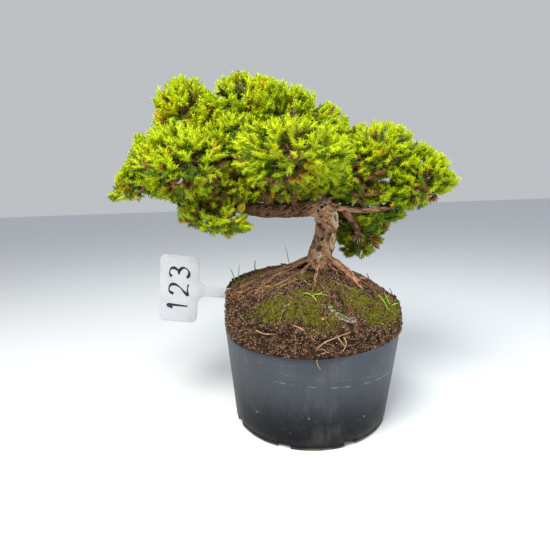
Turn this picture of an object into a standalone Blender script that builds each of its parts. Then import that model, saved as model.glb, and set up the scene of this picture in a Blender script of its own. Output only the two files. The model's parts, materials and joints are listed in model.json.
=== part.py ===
"""A dwarf juniper trained as a small bonsai, standing in a cut-down round nursery pot.

The origin is the centre of the pot's flat underside, +Z is up and the front of the tree faces -Y.
Lengths below are written in millimetres and turned into metres by MM.
"""

import math
import random
from dataclasses import dataclass

import bmesh
import bpy
import numpy as np
from mathutils import Matrix, Vector
from mathutils.bvhtree import BVHTree

MM = 0.001
GAP = 0.3  # running clearance between neighbouring pieces

# Pot: a round nursery pot whose upper part was cut off by hand.
POT_BASE_RADIUS = 68.3
POT_TAPER = 0.105  # growth of the radius for each millimetre of height
POT_LEAN = 0.035  # the soft wall leans towards +X as it rises
POT_WALL = 1.6
POT_FLOOR = 2.4
POT_FOOT_CHAMFER = 1.2
RIM_HEIGHT = 84.0
RIM_RISE_X = 0.8  # the hand-cut rim is a little higher on the right...
RIM_RISE_Y = 3.2  # ...and lower at the front
POT_SIDES = 44
DRAIN_NOTCHES = 8
NOTCH_WIDTH = 11.0
NOTCH_HEIGHT = 5.0
NOTCH_DEPTH = 9.0

# Root ball: peat and roots that stand proud of the rim as a mound.
GROUND = 129.0  # height of the level patch under the trunk
PATCH_RADIUS = 16.0
SHOULDER_HEIGHT = 107.5
SHOULDER_FALL_X = 8.0  # the mound is lower on the right...
SHOULDER_RISE_Y = 9.0  # ...and lower at the front
SHOULDER_RADIUS = 71.0
BULGE_RADIUS = 76.0
MOUND_CURVE = 2.5
BALL_SIDES = 36
BALL_PLAY = 0.4  # room left for flat facets against the pot's wall
BULGE_SWELL = ((0.9, 3, 1.0), (0.6, 7, 0.0))  # waves round the free side: size, count, phase
BULGE_OVERHANG = 2.0  # how much wider the free side is at the rim than at the shoulder
BULGE_SHARES = (0.2, 0.5, 0.8)
MOUND_SHARES = (1.0, 0.8, 0.6, 0.4, 0.2, 0.0)

# Trunk: centre line from the flat cut at ground level to the fork, with its radius.
TRUNK_LINE = (
    ((11.0, 8.0, GROUND + GAP), 13.2),
    ((11.4, 8.2, 134.0), 12.0),
    ((12.5, 8.5, 142.0), 10.8),
    ((15.8, 9.0, 151.0), 10.3),
    ((18.2, 9.0, 161.0), 9.3),
    ((18.6, 8.5, 171.0), 9.9),
    ((17.0, 8.0, 180.0), 10.2),
    ((14.5, 7.6, 187.0), 7.8),
    ((12.5, 7.4, 190.8), 3.4),
)
TRUNK_SIDES = 14
TRUNK_FLUTES = 5
FLUTE_DEPTH = 0.07
FLUTE_TURN = 1.6
TRUNK_STEPS = 2
# Knots: height on the trunk, compass angle in degrees, radius.
KNOTS = ((175.0, -15.0, 3.6), (157.0, -100.0, 2.6), (141.0, -95.0, 3.0), (178.0, 205.0, 2.8))
KNOT_SINK = 0.35  # share of a knot's radius that its centre lies under the bark

# Surface roots: compass angle in degrees, length from the trunk's axis, radius at the trunk.
SURFACE_ROOTS = (
    (-93.0, 35.0, 2.0),
    (-62.0, 30.0, 1.2),
    (-33.0, 45.0, 2.4),
    (-6.0, 40.0, 2.2),
    (38.0, 38.0, 2.0),
    (86.0, 42.0, 2.1),
    (138.0, 44.0, 1.9),
    (172.0, 46.0, 1.8),
    (190.0, 78.0, 1.8),
    (209.0, 66.0, 1.7),
)
ROOT_TIP_RADIUS = 0.7
ROOT_WANDER = 2.6
ROOT_START = 5.0  # inside the trunk's foot
ROOT_LIFT = 3.0  # roots leave the trunk this much above the mound
ROOT_SIDES = 4
ROOT_STEPS = 6

# Seats: a bough's flat end stops just short of the limb that carries it.
SEAT_GAP = 0.33
SEAT_STEP = 0.5
SEAT_HALVINGS = 9
EDGE_SLACK = 0.05  # a point nearest to an edge counts as outside within this share of its distance
END_SHARES = (0.0, 0.25, 0.5, 0.75)

# Label: a blank white T-shaped plant label pushed sideways into the root ball.
LABEL_PLATE = (34.0, 60.0)
LABEL_CORNER = 5.0
LABEL_FILLET = 8.0
LABEL_NECK = 9.0
LABEL_STEM = 46.0
LABEL_POINT = 7.0
LABEL_THICKNESS = 1.2
LABEL_CENTRE = (-113.5, -2.0, 117.5)
LABEL_TILT = 7.5  # degrees, stem pointing down towards the root ball

# Foliage.
CORE_SHARE = 0.66  # size of a mass's inner core against its reach
CORE_LUMPS = 0.14
CORE_ROUNDS = 14  # times that a core's crossing faces are drawn in...
CORE_SHRINK = 0.88  # ...each time to this share of their distance from the centre
TWIG_SHARE = 0.75
TWIG_WALK = 8
STEM_LEAD = 2.0  # straight stretch where a mass's stem takes over from its bough
STEM_SHARES = (0.9, 0.8)  # the stem's radius against its bough's tip, at its start and after its lead
STEM_SIDES = 5
TWIG_RADIUS = (1.5, 1.0)
SPRAY_SPREAD = (0.15, 0.62, 0.62)  # how far each spray of a twig turns aside
SPRAY_ROOT_SHARE = 0.52
SPRAY_REACHES = (0.97, 0.9, 0.83, 0.76, 0.69)  # tried in turn until the spray is clear of its neighbours
SPRAY_END = 2.0
SPRAY_LIFT = 0.22  # sprays turn upwards by this share
SPRAY_CORE = (2.8, 1.5)
SPRAY_STEPS = 3
NEEDLE_LENGTH = 6.6
NEEDLE_LEAN = 38.0  # degrees from square-on towards the spray's tip
REACH_LIMIT = 1.03  # needles may stand this far out of a mass's reach
SPACE_MARGIN = 0.05
LIMB_CLEARANCE = 0.7
SHORTEST_SPRAY = 9.0
GOLDEN_ANGLE = math.pi * (3 - math.sqrt(5))
SMOOTH_ANGLE = math.radians(40)


@dataclass(frozen=True)
class Bough:
    """One tapering limb, which leaves its parent at a share of the parent's length."""

    name: str
    parent: str
    leaves_at: float
    through: tuple
    radius: tuple
    sides: int = 5


@dataclass(frozen=True)
class Mass:
    """One mass of foliage: an egg-shaped space at the end of a bough, filled by sprays of needles."""

    name: str
    bough: str
    centre: tuple
    reach: tuple
    twigs: int = 5
    seed: int = 1


BOUGHS = (
    Bough("left_main_bough", "trunk", 0.80,
          ((-10, 4.5, 182.6), (-28, 2.5, 182.6), (-46, 1.5, 184.6), (-58, 1.0, 187.0)), (7.0, 5.6), 10),
    Bough("left_far_bough", "left_main_bough", 1.0,
          ((-80, 0.0, 193.0), (-102, 0.0, 202.0), (-114, 0.0, 205.5)), (4.0, 2.2)),
    Bough("left_rising_bough", "left_main_bough", 0.82,
          ((-60, 8, 212), (-80, 10, 232), (-90, 9, 242)), (3.0, 1.8)),
    Bough("left_front_bough", "left_main_bough", 0.88,
          ((-62, -14, 196), (-76, -23, 206)), (2.4, 1.6)),
    Bough("left_hanging_bough", "left_main_bough", 0.78,
          ((-55, -4, 175.0), (-63, -6, 174.5)), (2.0, 1.5), 5),
    Bough("top_left_bough", "left_main_bough", 0.50,
          ((-37, 4, 212), (-46, 2, 236), (-50, 1, 247)), (3.0, 1.8)),
    Bough("front_upright_bough", "left_main_bough", 0.24,
          ((-12, -13, 199), (-13, -26, 207), (-13, -34, 211)), (2.8, 1.8)),
    Bough("top_centre_bough", "trunk", 1.0,
          ((5, 10, 212), (-3, 9, 232), (-6, 8, 241)), (3.0, 1.9)),
    Bough("back_left_bough", "left_main_bough", 0.66,
          ((-52, 26, 204), (-68, 42, 218), (-73, 48, 223)), (2.6, 1.6)),
    Bough("back_centre_bough", "trunk", 0.86,
          ((7, 32, 204), (-3, 46, 218)), (3.0, 1.8)),
    Bough("right_back_bough", "trunk", 0.90,
          ((26, 27, 208), (30, 38, 230), (31, 41, 236)), (2.2, 1.5)),
    Bough("right_upper_bough", "trunk", 0.93,
          ((42, 12, 197), (54, 11, 206), (60, 10, 211)), (2.0, 1.5)),
    Bough("right_low_bough", "trunk", 0.84,
          ((37, 9, 181.5), (55, 7.5, 179.5), (73, 5, 181.5), (80, 3, 186.0)), (3.4, 1.8)),
    Bough("right_rear_bough", "trunk", 0.80,
          ((36, 30, 190), (44, 38, 198)), (2.4, 1.5)),
    Bough("lower_right_bough", "trunk", 0.70,
          ((36, 24, 169), (45, 33, 163)), (2.4, 1.6)),
    Bough("hanging_snag", "right_low_bough", 0.20,
          ((43, 11, 169), (47, 12, 161), (45.5, 12, 155.5), (42, 12, 154.5)), (2.5, 1.5)),
)

MASSES = (
    Mass("left_tip_foliage", "left_far_bough", (-139, 0, 212), (34, 36, 24), 6, 11),
    Mass("left_upper_foliage", "left_rising_bough", (-101, 8, 261), (34, 38, 34), 6, 12),
    Mass("left_front_foliage", "left_front_bough", (-95, -30, 222), (37, 30, 30), 6, 13),
    Mass("left_hanging_foliage", "left_hanging_bough", (-78, -9, 178), (38, 28, 20), 6, 14),
    Mass("top_left_foliage", "top_left_bough", (-52, 0, 266), (34, 36, 30), 6, 15),
    Mass("front_foliage", "front_upright_bough", (-14, -48, 224), (44, 30, 26), 6, 16),
    Mass("top_centre_foliage", "top_centre_bough", (-8, 8, 260), (36, 38, 31), 6, 17),
    Mass("back_left_foliage", "back_left_bough", (-85, 60, 236), (40, 36, 34), 6, 18),
    Mass("back_centre_foliage", "back_centre_bough", (-15, 62, 236), (40, 36, 34), 6, 19),
    Mass("right_back_foliage", "right_back_bough", (32, 45, 253), (26, 28, 27), 5, 20),
    Mass("right_upper_foliage", "right_upper_bough", (72, 4, 228), (35, 38, 28), 6, 31),
    Mass("right_tip_foliage", "right_low_bough", (100, 0, 205), (31, 34, 27), 6, 22),
    Mass("right_rear_foliage", "right_rear_bough", (62, 52, 214), (36, 32, 28), 6, 23),
    Mass("lower_right_foliage", "lower_right_bough", (60, 45, 152), (28, 25, 25), 5, 24),
)

# name: colour, roughness
FINISHES = {
    "pot": ((0.035, 0.038, 0.042), 0.42),
    "root_ball": ((0.055, 0.036, 0.024), 0.95),
    "bark": ((0.23, 0.15, 0.10), 0.85),
    "dead_wood": ((0.16, 0.09, 0.055), 0.9),
    "foliage": ((0.24, 0.42, 0.03), 0.6),
    "label": ((0.82, 0.84, 0.85), 0.4),
}


def clear_scene():
    for obj in list(bpy.data.objects):
        bpy.data.objects.remove(obj, do_unlink=True)


def make_material(name):
    colour, roughness = FINISHES[name]
    material = bpy.data.materials.new(name)
    material.use_nodes = True
    shader = material.node_tree.nodes["Principled BSDF"]
    shader.inputs["Base Color"].default_value = (*colour, 1.0)
    shader.inputs["Roughness"].default_value = roughness
    shader.inputs["Metallic"].default_value = 0.0
    material.diffuse_color = (*colour, 1.0)
    return material


def material_named(name):
    return bpy.data.materials.get(name) or make_material(name)


def add_object(name, bm, material, collection=None):
    """A new object in metres from a bmesh in millimetres."""
    bmesh.ops.scale(bm, vec=(MM, MM, MM), verts=bm.verts)
    bmesh.ops.recalc_face_normals(bm, faces=bm.faces)
    mesh = bpy.data.meshes.new(name)
    bm.to_mesh(mesh)
    bm.free()
    mesh.materials.append(material_named(material))
    mesh.shade_smooth()
    mesh.set_sharp_from_angle(angle=SMOOTH_ANGLE)
    obj = bpy.data.objects.new(name, mesh)
    (collection or bpy.context.scene.collection).objects.link(obj)
    return obj


def loft(bm, rings):
    """Bridges rings of equal length one after the other, and caps the first and the last."""
    rows = [[bm.verts.new(point) for point in ring] for ring in rings]
    count = len(rows[0])
    for low, high in zip(rows, rows[1:]):
        for i in range(count):
            j = (i + 1) % count
            bm.faces.new((low[i], low[j], high[j], high[i]))
    bm.faces.new(rows[0])
    bm.faces.new(rows[-1])


def smooth_line(points, steps):
    """Catmull-Rom curve through the points: steps samples on each stretch, and the last point."""
    ends = [2 * points[0] - points[1], *points, 2 * points[-1] - points[-2]]
    line = []
    for a, b, c, d in zip(ends, ends[1:], ends[2:], ends[3:]):
        for step in range(steps):
            t = step / steps
            line.append(0.5 * (2 * b + (c - a) * t + (2 * a - 5 * b + 4 * c - d) * t * t
                               + (3 * b - a - 3 * c + d) * t ** 3))
    line.append(points[-1].copy())
    return line


def tube_rings(line, radii, sides, shape=None):
    """Rings square to the line. shape(i, angle) may swell the ring's radius."""
    ahead, behind = [*line[1:], line[-1]], [line[0], *line[:-1]]
    tangents = [(after - before).normalized() for after, before in zip(ahead, behind)]
    across = tangents[0].orthogonal().normalized()
    rings = []
    for i, (centre, radius, tangent) in enumerate(zip(line, radii, tangents)):
        across = (across - tangent * across.dot(tangent)).normalized()
        other = tangent.cross(across)
        ring = []
        for k in range(sides):
            angle = math.tau * k / sides
            swell = shape(i, angle) if shape else 1.0
            ring.append(centre + radius * swell * (math.cos(angle) * across + math.sin(angle) * other))
        rings.append(ring)
    return rings


def add_tube(name, line, radii, sides, material, collection=None, shape=None):
    bm = bmesh.new()
    loft(bm, tube_rings(line, radii, sides, shape))
    return add_object(name, bm, material, collection)


def fuse(base, collection, solver="MANIFOLD"):
    """Joins a collection's objects to base with one Boolean union, and removes the objects."""
    union = base.modifiers.new("Union", "BOOLEAN")
    union.operation = "UNION"
    union.operand_type = "COLLECTION"
    union.collection = collection
    union.solver = solver
    bpy.context.view_layer.update()
    fused = bpy.data.meshes.new_from_object(base.evaluated_get(bpy.context.evaluated_depsgraph_get()))
    base.modifiers.clear()
    base.data = fused
    for obj in list(collection.objects):
        bpy.data.objects.remove(obj, do_unlink=True)
    bpy.data.collections.remove(collection)
    keep_largest_body(fused)


def keep_largest_body(mesh):
    """Drops loose scraps and the walls of sealed hollows: what isn't joined edge to edge with the rest."""
    bm = bmesh.new()
    bm.from_mesh(mesh)
    bmesh.ops.triangulate(bm, faces=bm.faces)
    unseen = set(bm.faces)
    bodies = []
    while unseen:
        body, open_faces = set(), [unseen.pop()]
        while open_faces:
            face = open_faces.pop()
            body.add(face)
            for edge in face.edges:
                if len(edge.link_faces) != 2:
                    continue
                for other in edge.link_faces:
                    if other in unseen:
                        unseen.remove(other)
                        open_faces.append(other)
        bodies.append(body)
    largest = max(bodies, key=len)
    bmesh.ops.delete(bm, geom=[face for face in bm.faces if face not in largest], context="FACES")
    bm.to_mesh(mesh)
    bm.free()
    mesh.shade_smooth()
    mesh.set_sharp_from_angle(angle=SMOOTH_ANGLE)


def helper_collection(name):
    collection = bpy.data.collections.new(name)
    bpy.context.scene.collection.children.link(collection)
    return collection


# ---------------------------------------------------------------- pot

def rim_height(angle):
    return RIM_HEIGHT + RIM_RISE_X * math.cos(angle) + RIM_RISE_Y * math.sin(angle)


def pot_ring(height_at, inset=0.0, sides=POT_SIDES):
    """A ring of the pot's wall, at height_at(angle) and inset from the outer face."""
    ring = []
    for k in range(sides):
        angle = math.tau * k / sides
        z = height_at(angle)
        radius = POT_BASE_RADIUS + POT_TAPER * z - inset
        ring.append(Vector((POT_LEAN * z + radius * math.cos(angle), radius * math.sin(angle), z)))
    return ring


def level(z):
    return lambda angle: z


def part_way(share):
    return lambda angle: share * rim_height(angle)


def make_pot():
    rings = [
        pot_ring(level(0.0), POT_FOOT_CHAMFER),
        pot_ring(level(POT_FOOT_CHAMFER)),
        pot_ring(part_way(0.5)),
        pot_ring(rim_height),
        pot_ring(rim_height, POT_WALL),
        pot_ring(part_way(0.5), POT_WALL),
        pot_ring(level(POT_FLOOR), POT_WALL),
    ]
    bm = bmesh.new()
    loft(bm, rings)
    pot = add_object("pot", bm, "pot")
    cutters = helper_collection("drain_cutters")
    for k in range(DRAIN_NOTCHES):
        angle = math.tau * (k + 0.5) / DRAIN_NOTCHES
        bm = bmesh.new()
        bmesh.ops.create_cube(bm, size=1.0)
        bmesh.ops.scale(bm, vec=(2 * NOTCH_DEPTH, NOTCH_WIDTH, 2 * NOTCH_HEIGHT), verts=bm.verts)
        cutter = add_object(f"drain_cutter_{k}", bm, "pot", cutters)
        cutter.location = Vector((math.cos(angle), math.sin(angle), 0)) * (POT_BASE_RADIUS * MM)
        cutter.rotation_euler.z = angle
        cutter.hide_render = True
        cutter.display_type = "WIRE"
    notches = pot.modifiers.new("Drain notches", "BOOLEAN")
    notches.operation = "DIFFERENCE"
    notches.operand_type = "COLLECTION"
    notches.collection = cutters


# ---------------------------------------------------------------- root ball

def shoulder_height(angle):
    return SHOULDER_HEIGHT - SHOULDER_FALL_X * math.cos(angle) + SHOULDER_RISE_Y * math.sin(angle)


def mound_ring(share):
    """Centre and radius of a ring round the mound, from the trunk's level patch (0) to the shoulder (1)."""
    middle = Vector((POT_LEAN * SHOULDER_HEIGHT, 0, 0))
    centre = Vector(TRUNK_LINE[0][0]).lerp(middle, share)
    return centre, PATCH_RADIUS + (SHOULDER_RADIUS - PATCH_RADIUS) * share


def mound_point(share, angle):
    centre, radius = mound_ring(share)
    z = GROUND - (GROUND - shoulder_height(angle)) * share ** MOUND_CURVE
    return Vector((centre.x + radius * math.cos(angle), centre.y + radius * math.sin(angle), z))


def mound_height(x, y):
    """Height of the mound over a point, found by halving the share whose ring passes through it."""
    low, high = 0.0, 1.0
    for _ in range(24):
        share = (low + high) / 2
        centre, radius = mound_ring(share)
        if math.hypot(x - centre.x, y - centre.y) > radius:
            low = share
        else:
            high = share
    angle = math.atan2(y - centre.y, x - centre.x)
    return mound_point(share, angle).z


def bulge_ring(height_share):
    """A ring of the ball's free side between the rim, 0, and the shoulder, 1."""
    ring = []
    for k in range(BALL_SIDES):
        angle = math.tau * k / BALL_SIDES
        z = rim_height(angle) + (shoulder_height(angle) - rim_height(angle)) * height_share
        swell = sum(size * math.sin(count * angle + phase) for size, count, phase in BULGE_SWELL)
        radius = BULGE_RADIUS + swell + BULGE_OVERHANG * (1 - height_share)
        ring.append(Vector((POT_LEAN * z + radius * math.cos(angle), radius * math.sin(angle), z)))
    return ring


def make_root_ball():
    inset = POT_WALL + GAP + BALL_PLAY
    rings = [
        pot_ring(level(POT_FLOOR + GAP), inset, BALL_SIDES),
        pot_ring(part_way(0.5), inset, BALL_SIDES),
        pot_ring(lambda angle: rim_height(angle) + 2 * GAP, inset, BALL_SIDES),
    ]
    rings += [bulge_ring(share) for share in BULGE_SHARES]
    for share in MOUND_SHARES:
        rings.append([mound_point(share, math.tau * k / BALL_SIDES) for k in range(BALL_SIDES)])
    bm = bmesh.new()
    loft(bm, rings)
    ball = add_object("root_ball", bm, "root_ball")
    bm = bmesh.new()
    bmesh.ops.create_cube(bm, size=1.0)
    size = (LABEL_STEM + 2 * GAP, LABEL_THICKNESS + 2 * GAP, LABEL_NECK + 2 * GAP)
    bmesh.ops.scale(bm, vec=size, verts=bm.verts)
    bmesh.ops.translate(bm, vec=((LABEL_PLATE[0] + LABEL_STEM) / 2, 0, 0), verts=bm.verts)
    slot = add_object("label_slot_cutter", bm, "root_ball")
    slot.hide_render = True
    slot.display_type = "WIRE"
    place_label(slot)
    cut = ball.modifiers.new("Label slot", "BOOLEAN")
    cut.operation = "DIFFERENCE"
    cut.object = slot


# ---------------------------------------------------------------- label

def place_label(obj):
    obj.location = Vector(LABEL_CENTRE) * MM
    obj.rotation_euler.y = math.radians(LABEL_TILT)


def arc(centre, radius, start, end, steps=5):
    """Points on an arc in the label's own plane, angles in degrees."""
    points = []
    for i in range(steps + 1):
        angle = math.radians(start + (end - start) * i / steps)
        points.append((centre[0] + radius * math.cos(angle), centre[1] + radius * math.sin(angle)))
    return points


def make_label():
    """The plate is centred on the origin, and the stem runs along +X to a blunt point."""
    half_x, half_z = LABEL_PLATE[0] / 2, LABEL_PLATE[1] / 2
    neck = LABEL_NECK / 2
    c, f = LABEL_CORNER, LABEL_FILLET
    tip = half_x + LABEL_STEM
    upper = arc((-half_x + c, half_z - c), c, 180, 90)
    upper += arc((half_x - c, half_z - c), c, 90, 0)
    upper += arc((half_x + f, neck + f), f, 180, 270)
    upper += [(tip - LABEL_POINT, neck), (tip, neck * 0.3)]
    outline = upper + [(x, -z) for x, z in reversed(upper)]
    bm = bmesh.new()
    half = LABEL_THICKNESS / 2
    loft(bm, [[Vector((x, side, z)) for x, z in outline] for side in (-half, half)])
    place_label(add_object("plant_label", bm, "label"))


# ---------------------------------------------------------------- trunk and roots

def trunk_flute(ring, angle):
    """Shallow flutes that turn slowly and fade as the trunk rises."""
    share = ring / (TRUNK_STEPS * len(TRUNK_LINE))
    return 1 + FLUTE_DEPTH * (1 - 0.5 * share) * math.sin(TRUNK_FLUTES * angle + FLUTE_TURN * share)


def trunk_centre(height):
    """Centre and radius of the trunk at a height."""
    for (low, r_low), (high, r_high) in zip(TRUNK_LINE, TRUNK_LINE[1:]):
        if low[2] <= height <= high[2]:
            share = (height - low[2]) / (high[2] - low[2])
            return Vector(low).lerp(Vector(high), share), r_low + (r_high - r_low) * share
    return Vector(TRUNK_LINE[-1][0]), TRUNK_LINE[-1][1]


def root_line(compass, length, radius):
    """A root that leaves the trunk's foot and follows the mound, just clear of it."""
    foot = Vector(TRUNK_LINE[0][0])
    line, radii = [], []
    for step in range(ROOT_STEPS + 1):
        share = step / ROOT_STEPS
        reach = ROOT_START + (length - ROOT_START) * share
        wander = ROOT_WANDER * share * math.sin(5.0 * share + math.radians(3 * compass))
        angle = math.radians(compass)
        out = Vector((math.cos(angle), math.sin(angle), 0))
        point = foot + out * reach + Vector((-out.y, out.x, 0)) * wander
        thick = radius + (ROOT_TIP_RADIUS - radius) * share
        lift = ROOT_LIFT * max(0.0, 1 - 2.2 * share)
        point.z = mound_height(point.x, point.y) + thick + 2 * GAP + lift
        line.append(point)
        radii.append(thick)
    return line, radii


def limb_line(points, radius, steps=2):
    """Smooth centre line and radii of a limb that tapers evenly from radius[0] to radius[1]."""
    line = smooth_line([Vector(p) for p in points], steps)
    last = len(line) - 1
    return line, [radius[0] + (radius[1] - radius[0]) * i / last for i in range(len(line))]


def make_trunk():
    line = smooth_line([Vector(point) for point, _ in TRUNK_LINE], TRUNK_STEPS)
    steps = np.linspace(0, len(TRUNK_LINE) - 1, len(line))
    radii = np.interp(steps, range(len(TRUNK_LINE)), [radius for _, radius in TRUNK_LINE]).tolist()
    rings = tube_rings(line, radii, TRUNK_SIDES, trunk_flute)
    for point in rings[0]:
        point.z = GROUND + GAP
    bm = bmesh.new()
    loft(bm, rings)
    trunk = add_object("trunk", bm, "bark")
    extras = helper_collection("trunk_extras")
    for i, (compass, length, radius) in enumerate(SURFACE_ROOTS):
        root, thick = root_line(compass, length, radius)
        add_tube(f"surface_root_{i}", root, thick, ROOT_SIDES, "bark", extras)
    for i, (height, compass, radius) in enumerate(KNOTS):
        centre, around = trunk_centre(height)
        angle = math.radians(compass)
        centre += Vector((math.cos(angle), math.sin(angle), 0)) * (around - KNOT_SINK * radius)
        bm = bmesh.new()
        bmesh.ops.create_icosphere(bm, subdivisions=1, radius=radius)
        bmesh.ops.translate(bm, vec=centre, verts=bm.verts)
        add_object(f"knot_{i}", bm, "bark", extras)
    fuse(trunk, extras)
    return line, radii


# ---------------------------------------------------------------- boughs

def point_on(line, radii, share):
    place = share * (len(line) - 1)
    i = min(int(place), len(line) - 2)
    return (line[i].lerp(line[i + 1], place - i), radii[i] + (radii[i + 1] - radii[i]) * (place - i),
            (line[i + 1] - line[i]).normalized())


def bead_string(line, radii, spacing=1.5):
    """A limb as a string of balls, for measuring how near something comes to it."""
    beads, thick = [], []
    for a, b, low, high in zip(line, line[1:], radii, radii[1:]):
        count = max(1, math.ceil((b - a).length / spacing))
        beads += [a.lerp(b, i / count) for i in range(count)]
        thick += [low + (high - low) * i / count for i in range(count)]
    return beads + [line[-1]], thick + [radii[-1]]


def surface_of(obj, radii):
    """A finished limb's surface and its largest radius, for measuring how near something comes to it."""
    points = [vert.co / MM for vert in obj.data.vertices]
    return BVHTree.FromPolygons(points, [face.vertices for face in obj.data.polygons]), max(radii)


def least_gap(surfaces, points):
    """Least distance from the points to the limbs' surfaces, below zero inside one of them."""
    gaps = []
    for surface, radius in surfaces:
        for point in points:
            spot, normal, _, distance = surface.find_nearest(point)
            within = distance < radius and (point - spot).dot(normal) < -EDGE_SLACK * distance
            gaps.append(-distance if within else distance)
    return min(gaps)


def end_samples(rings):
    """Points all over a limb's flat end and its first stretch."""
    first, second = rings[:2]
    middle = sum(first, Vector()) / len(first)
    points = [middle]
    for i, point in enumerate(first):
        beside, ahead = first[i - 1], second[i]
        for share in END_SHARES:
            edge = point.lerp(beside, share)
            points += [edge, edge.lerp(middle, 1 / 3), edge.lerp(middle, 2 / 3)]
            points += [edge.lerp(ahead.lerp(second[i - 1], share), step) for step in END_SHARES]
    return points


def seated_limb(bough, parent, surfaces):
    """The bough's line and radii from where its flat end lies just clear of the limb that carries it."""
    through = [Vector(point) for point in bough.through]
    centre, around, along = point_on(*parent, bough.leaves_at)
    out = (through[0] - centre).normalized()
    if bough.leaves_at < 1:
        out = (out - 0.5 * along * out.dot(along)).normalized()

    def limb_from(distance):
        return limb_line([centre + out * distance, *through], bough.radius)

    def gap_from(distance):
        return least_gap(surfaces, end_samples(tube_rings(*limb_from(distance), bough.sides)))

    inside = around / 2 if bough.leaves_at < 1 else 0.0
    outside = inside
    while gap_from(outside) < SEAT_GAP:
        outside += SEAT_STEP
    for _ in range(SEAT_HALVINGS):
        middle = (inside + outside) / 2
        if gap_from(middle) < SEAT_GAP:
            inside = middle
        else:
            outside = middle
    return limb_from(outside)


def make_boughs(limbs):
    surfaces = [surface_of(bpy.data.objects["trunk"], limbs["trunk"][1])]
    for bough in BOUGHS:
        line, radii = seated_limb(bough, limbs[bough.parent], surfaces)
        wood = "dead_wood" if bough.name == "hanging_snag" else "bark"
        surfaces.append(surface_of(add_tube(bough.name, line, radii, bough.sides, wood), radii))
        limbs[bough.name] = (line, radii)


# ---------------------------------------------------------------- foliage

class Space:
    """Tells whether points lie in a mass's own space, outside its neighbours' and clear of every limb."""

    def __init__(self, limbs):
        self.centres = np.array([mass.centre for mass in MASSES], float)
        self.reaches = np.array([mass.reach for mass in MASSES], float)
        beads, thick = [], []
        for line, radii in limbs.values():
            balls, sizes = bead_string(line, radii)
            beads += balls
            thick += sizes
        self.beads = np.array(beads)
        self.thick = np.array(thick)

    def depth(self, points):
        """For each point and each mass, its distance from the mass's centre as a share of the reach."""
        return np.linalg.norm((points[:, None] - self.centres) / self.reaches, axis=2)

    def holds(self, index, points, limit=1.0, clearance=LIMB_CLEARANCE):
        points = np.asarray(points, float)
        depth = self.depth(points)
        own = depth[:, index].copy()
        depth[:, index] = np.inf
        if (own > limit).any() or (depth.min(axis=1) < own + SPACE_MARGIN).any():
            return False
        reach = self.reaches[index].max() + self.thick.max() + clearance
        near = np.linalg.norm(self.beads - self.centres[index], axis=1) < 1.1 * reach
        away = np.linalg.norm(points[:, None] - self.beads[near], axis=2) - self.thick[near]
        return away.size == 0 or bool(away.min() > clearance)


def spray_points(root, tip, turn):
    """Rings and needle tips of a spray of needles: a slim three-sided core that needles stand out of."""
    axis = (tip - root).normalized()
    across = Matrix.Rotation(turn, 3, axis) @ axis.orthogonal().normalized()
    length = (tip - root).length - SPRAY_END
    corners = [Matrix.Rotation(math.tau * k / 3, 3, axis) @ across for k in range(3)]
    rings, needles = [], []
    for step in range(SPRAY_STEPS + 1):
        share = step / SPRAY_STEPS
        thick = SPRAY_CORE[0] + (SPRAY_CORE[1] - SPRAY_CORE[0]) * share
        rings.append([root + axis * length * share + corner * thick for corner in corners])
    lean = math.radians(NEEDLE_LEAN)
    for low, high in zip(rings[1:], rings[2:]):
        for k in range(3):
            j = (k + 1) % 3
            middle = (low[k] + low[j] + high[k] + high[j]) / 4
            out = middle - root
            out = (out - axis * out.dot(axis)).normalized()
            needles.append(middle + NEEDLE_LENGTH * (math.cos(lean) * out + math.sin(lean) * axis))
    return rings, needles


def spray_samples(rings, needles, tip):
    """Points over a spray's core and needles, to test against limbs and neighbours."""
    samples = [tip, *needles]
    for low, high in zip(rings, rings[1:]):
        samples += [a.lerp(b, share) for a, b in zip(low, high) for share in (0.0, 0.33, 0.67, 1.0)]
    base = rings[1] + rings[2]
    samples += [needle.lerp(base[k], 0.5) for k, needle in enumerate(needles)]
    return samples


def add_spray(name, rings, needles, tip, collection):
    bm = bmesh.new()
    rows = [[bm.verts.new(point) for point in ring] for ring in rings]
    for k in range(3):
        j = (k + 1) % 3
        bm.faces.new((rows[0][k], rows[0][j], rows[1][j], rows[1][k]))
    points = iter(needles)
    for low, high in zip(rows[1:], rows[2:]):
        for k in range(3):
            j = (k + 1) % 3
            needle = bm.verts.new(next(points))
            corners = (low[k], low[j], high[j], high[k])
            for a, b in zip(corners, corners[1:] + corners[:1]):
                bm.faces.new((a, b, needle))
    end = bm.verts.new(tip)
    for k in range(3):
        bm.faces.new((rows[-1][k], rows[-1][(k + 1) % 3], end))
    bm.faces.new(rows[0])
    add_object(name, bm, "foliage", collection)


def twig_directions(count, rng):
    """Directions spread evenly round a mass by the golden angle, each turned a little at random."""
    turn = rng.uniform(0, math.tau)
    for k in range(count):
        z = 1 - 2 * (k + 0.5) / count
        ring = math.sqrt(1 - z * z)
        angle = turn + k * GOLDEN_ANGLE
        yield Vector((ring * math.cos(angle), ring * math.sin(angle), z))


def face_samples(face):
    """Points spread over a triangle."""
    a, b, c = (vert.co for vert in face.verts)
    return [a * i / 4 + b * j / 4 + c * (4 - i - j) / 4 for i in range(5) for j in range(5 - i)]


def make_core(index, mass, space, rng):
    """A faceted core, drawn in wherever a face would meet a limb or leave the mass's space."""
    bm = bmesh.new()
    bmesh.ops.create_icosphere(bm, subdivisions=2, radius=1.0)
    centre, reach = Vector(mass.centre), Vector(mass.reach)
    for vert in bm.verts:
        lump = rng.uniform(1 - CORE_LUMPS, 1 + CORE_LUMPS)
        vert.co = centre + vert.co.normalized() * reach * CORE_SHARE * lump
    for _ in range(CORE_ROUNDS):
        crossing = [face for face in bm.faces if not space.holds(index, face_samples(face))]
        for vert in {vert for face in crossing for vert in face.verts}:
            vert.co = centre.lerp(vert.co, CORE_SHRINK)
    return add_object(mass.name, bm, "foliage")


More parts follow.
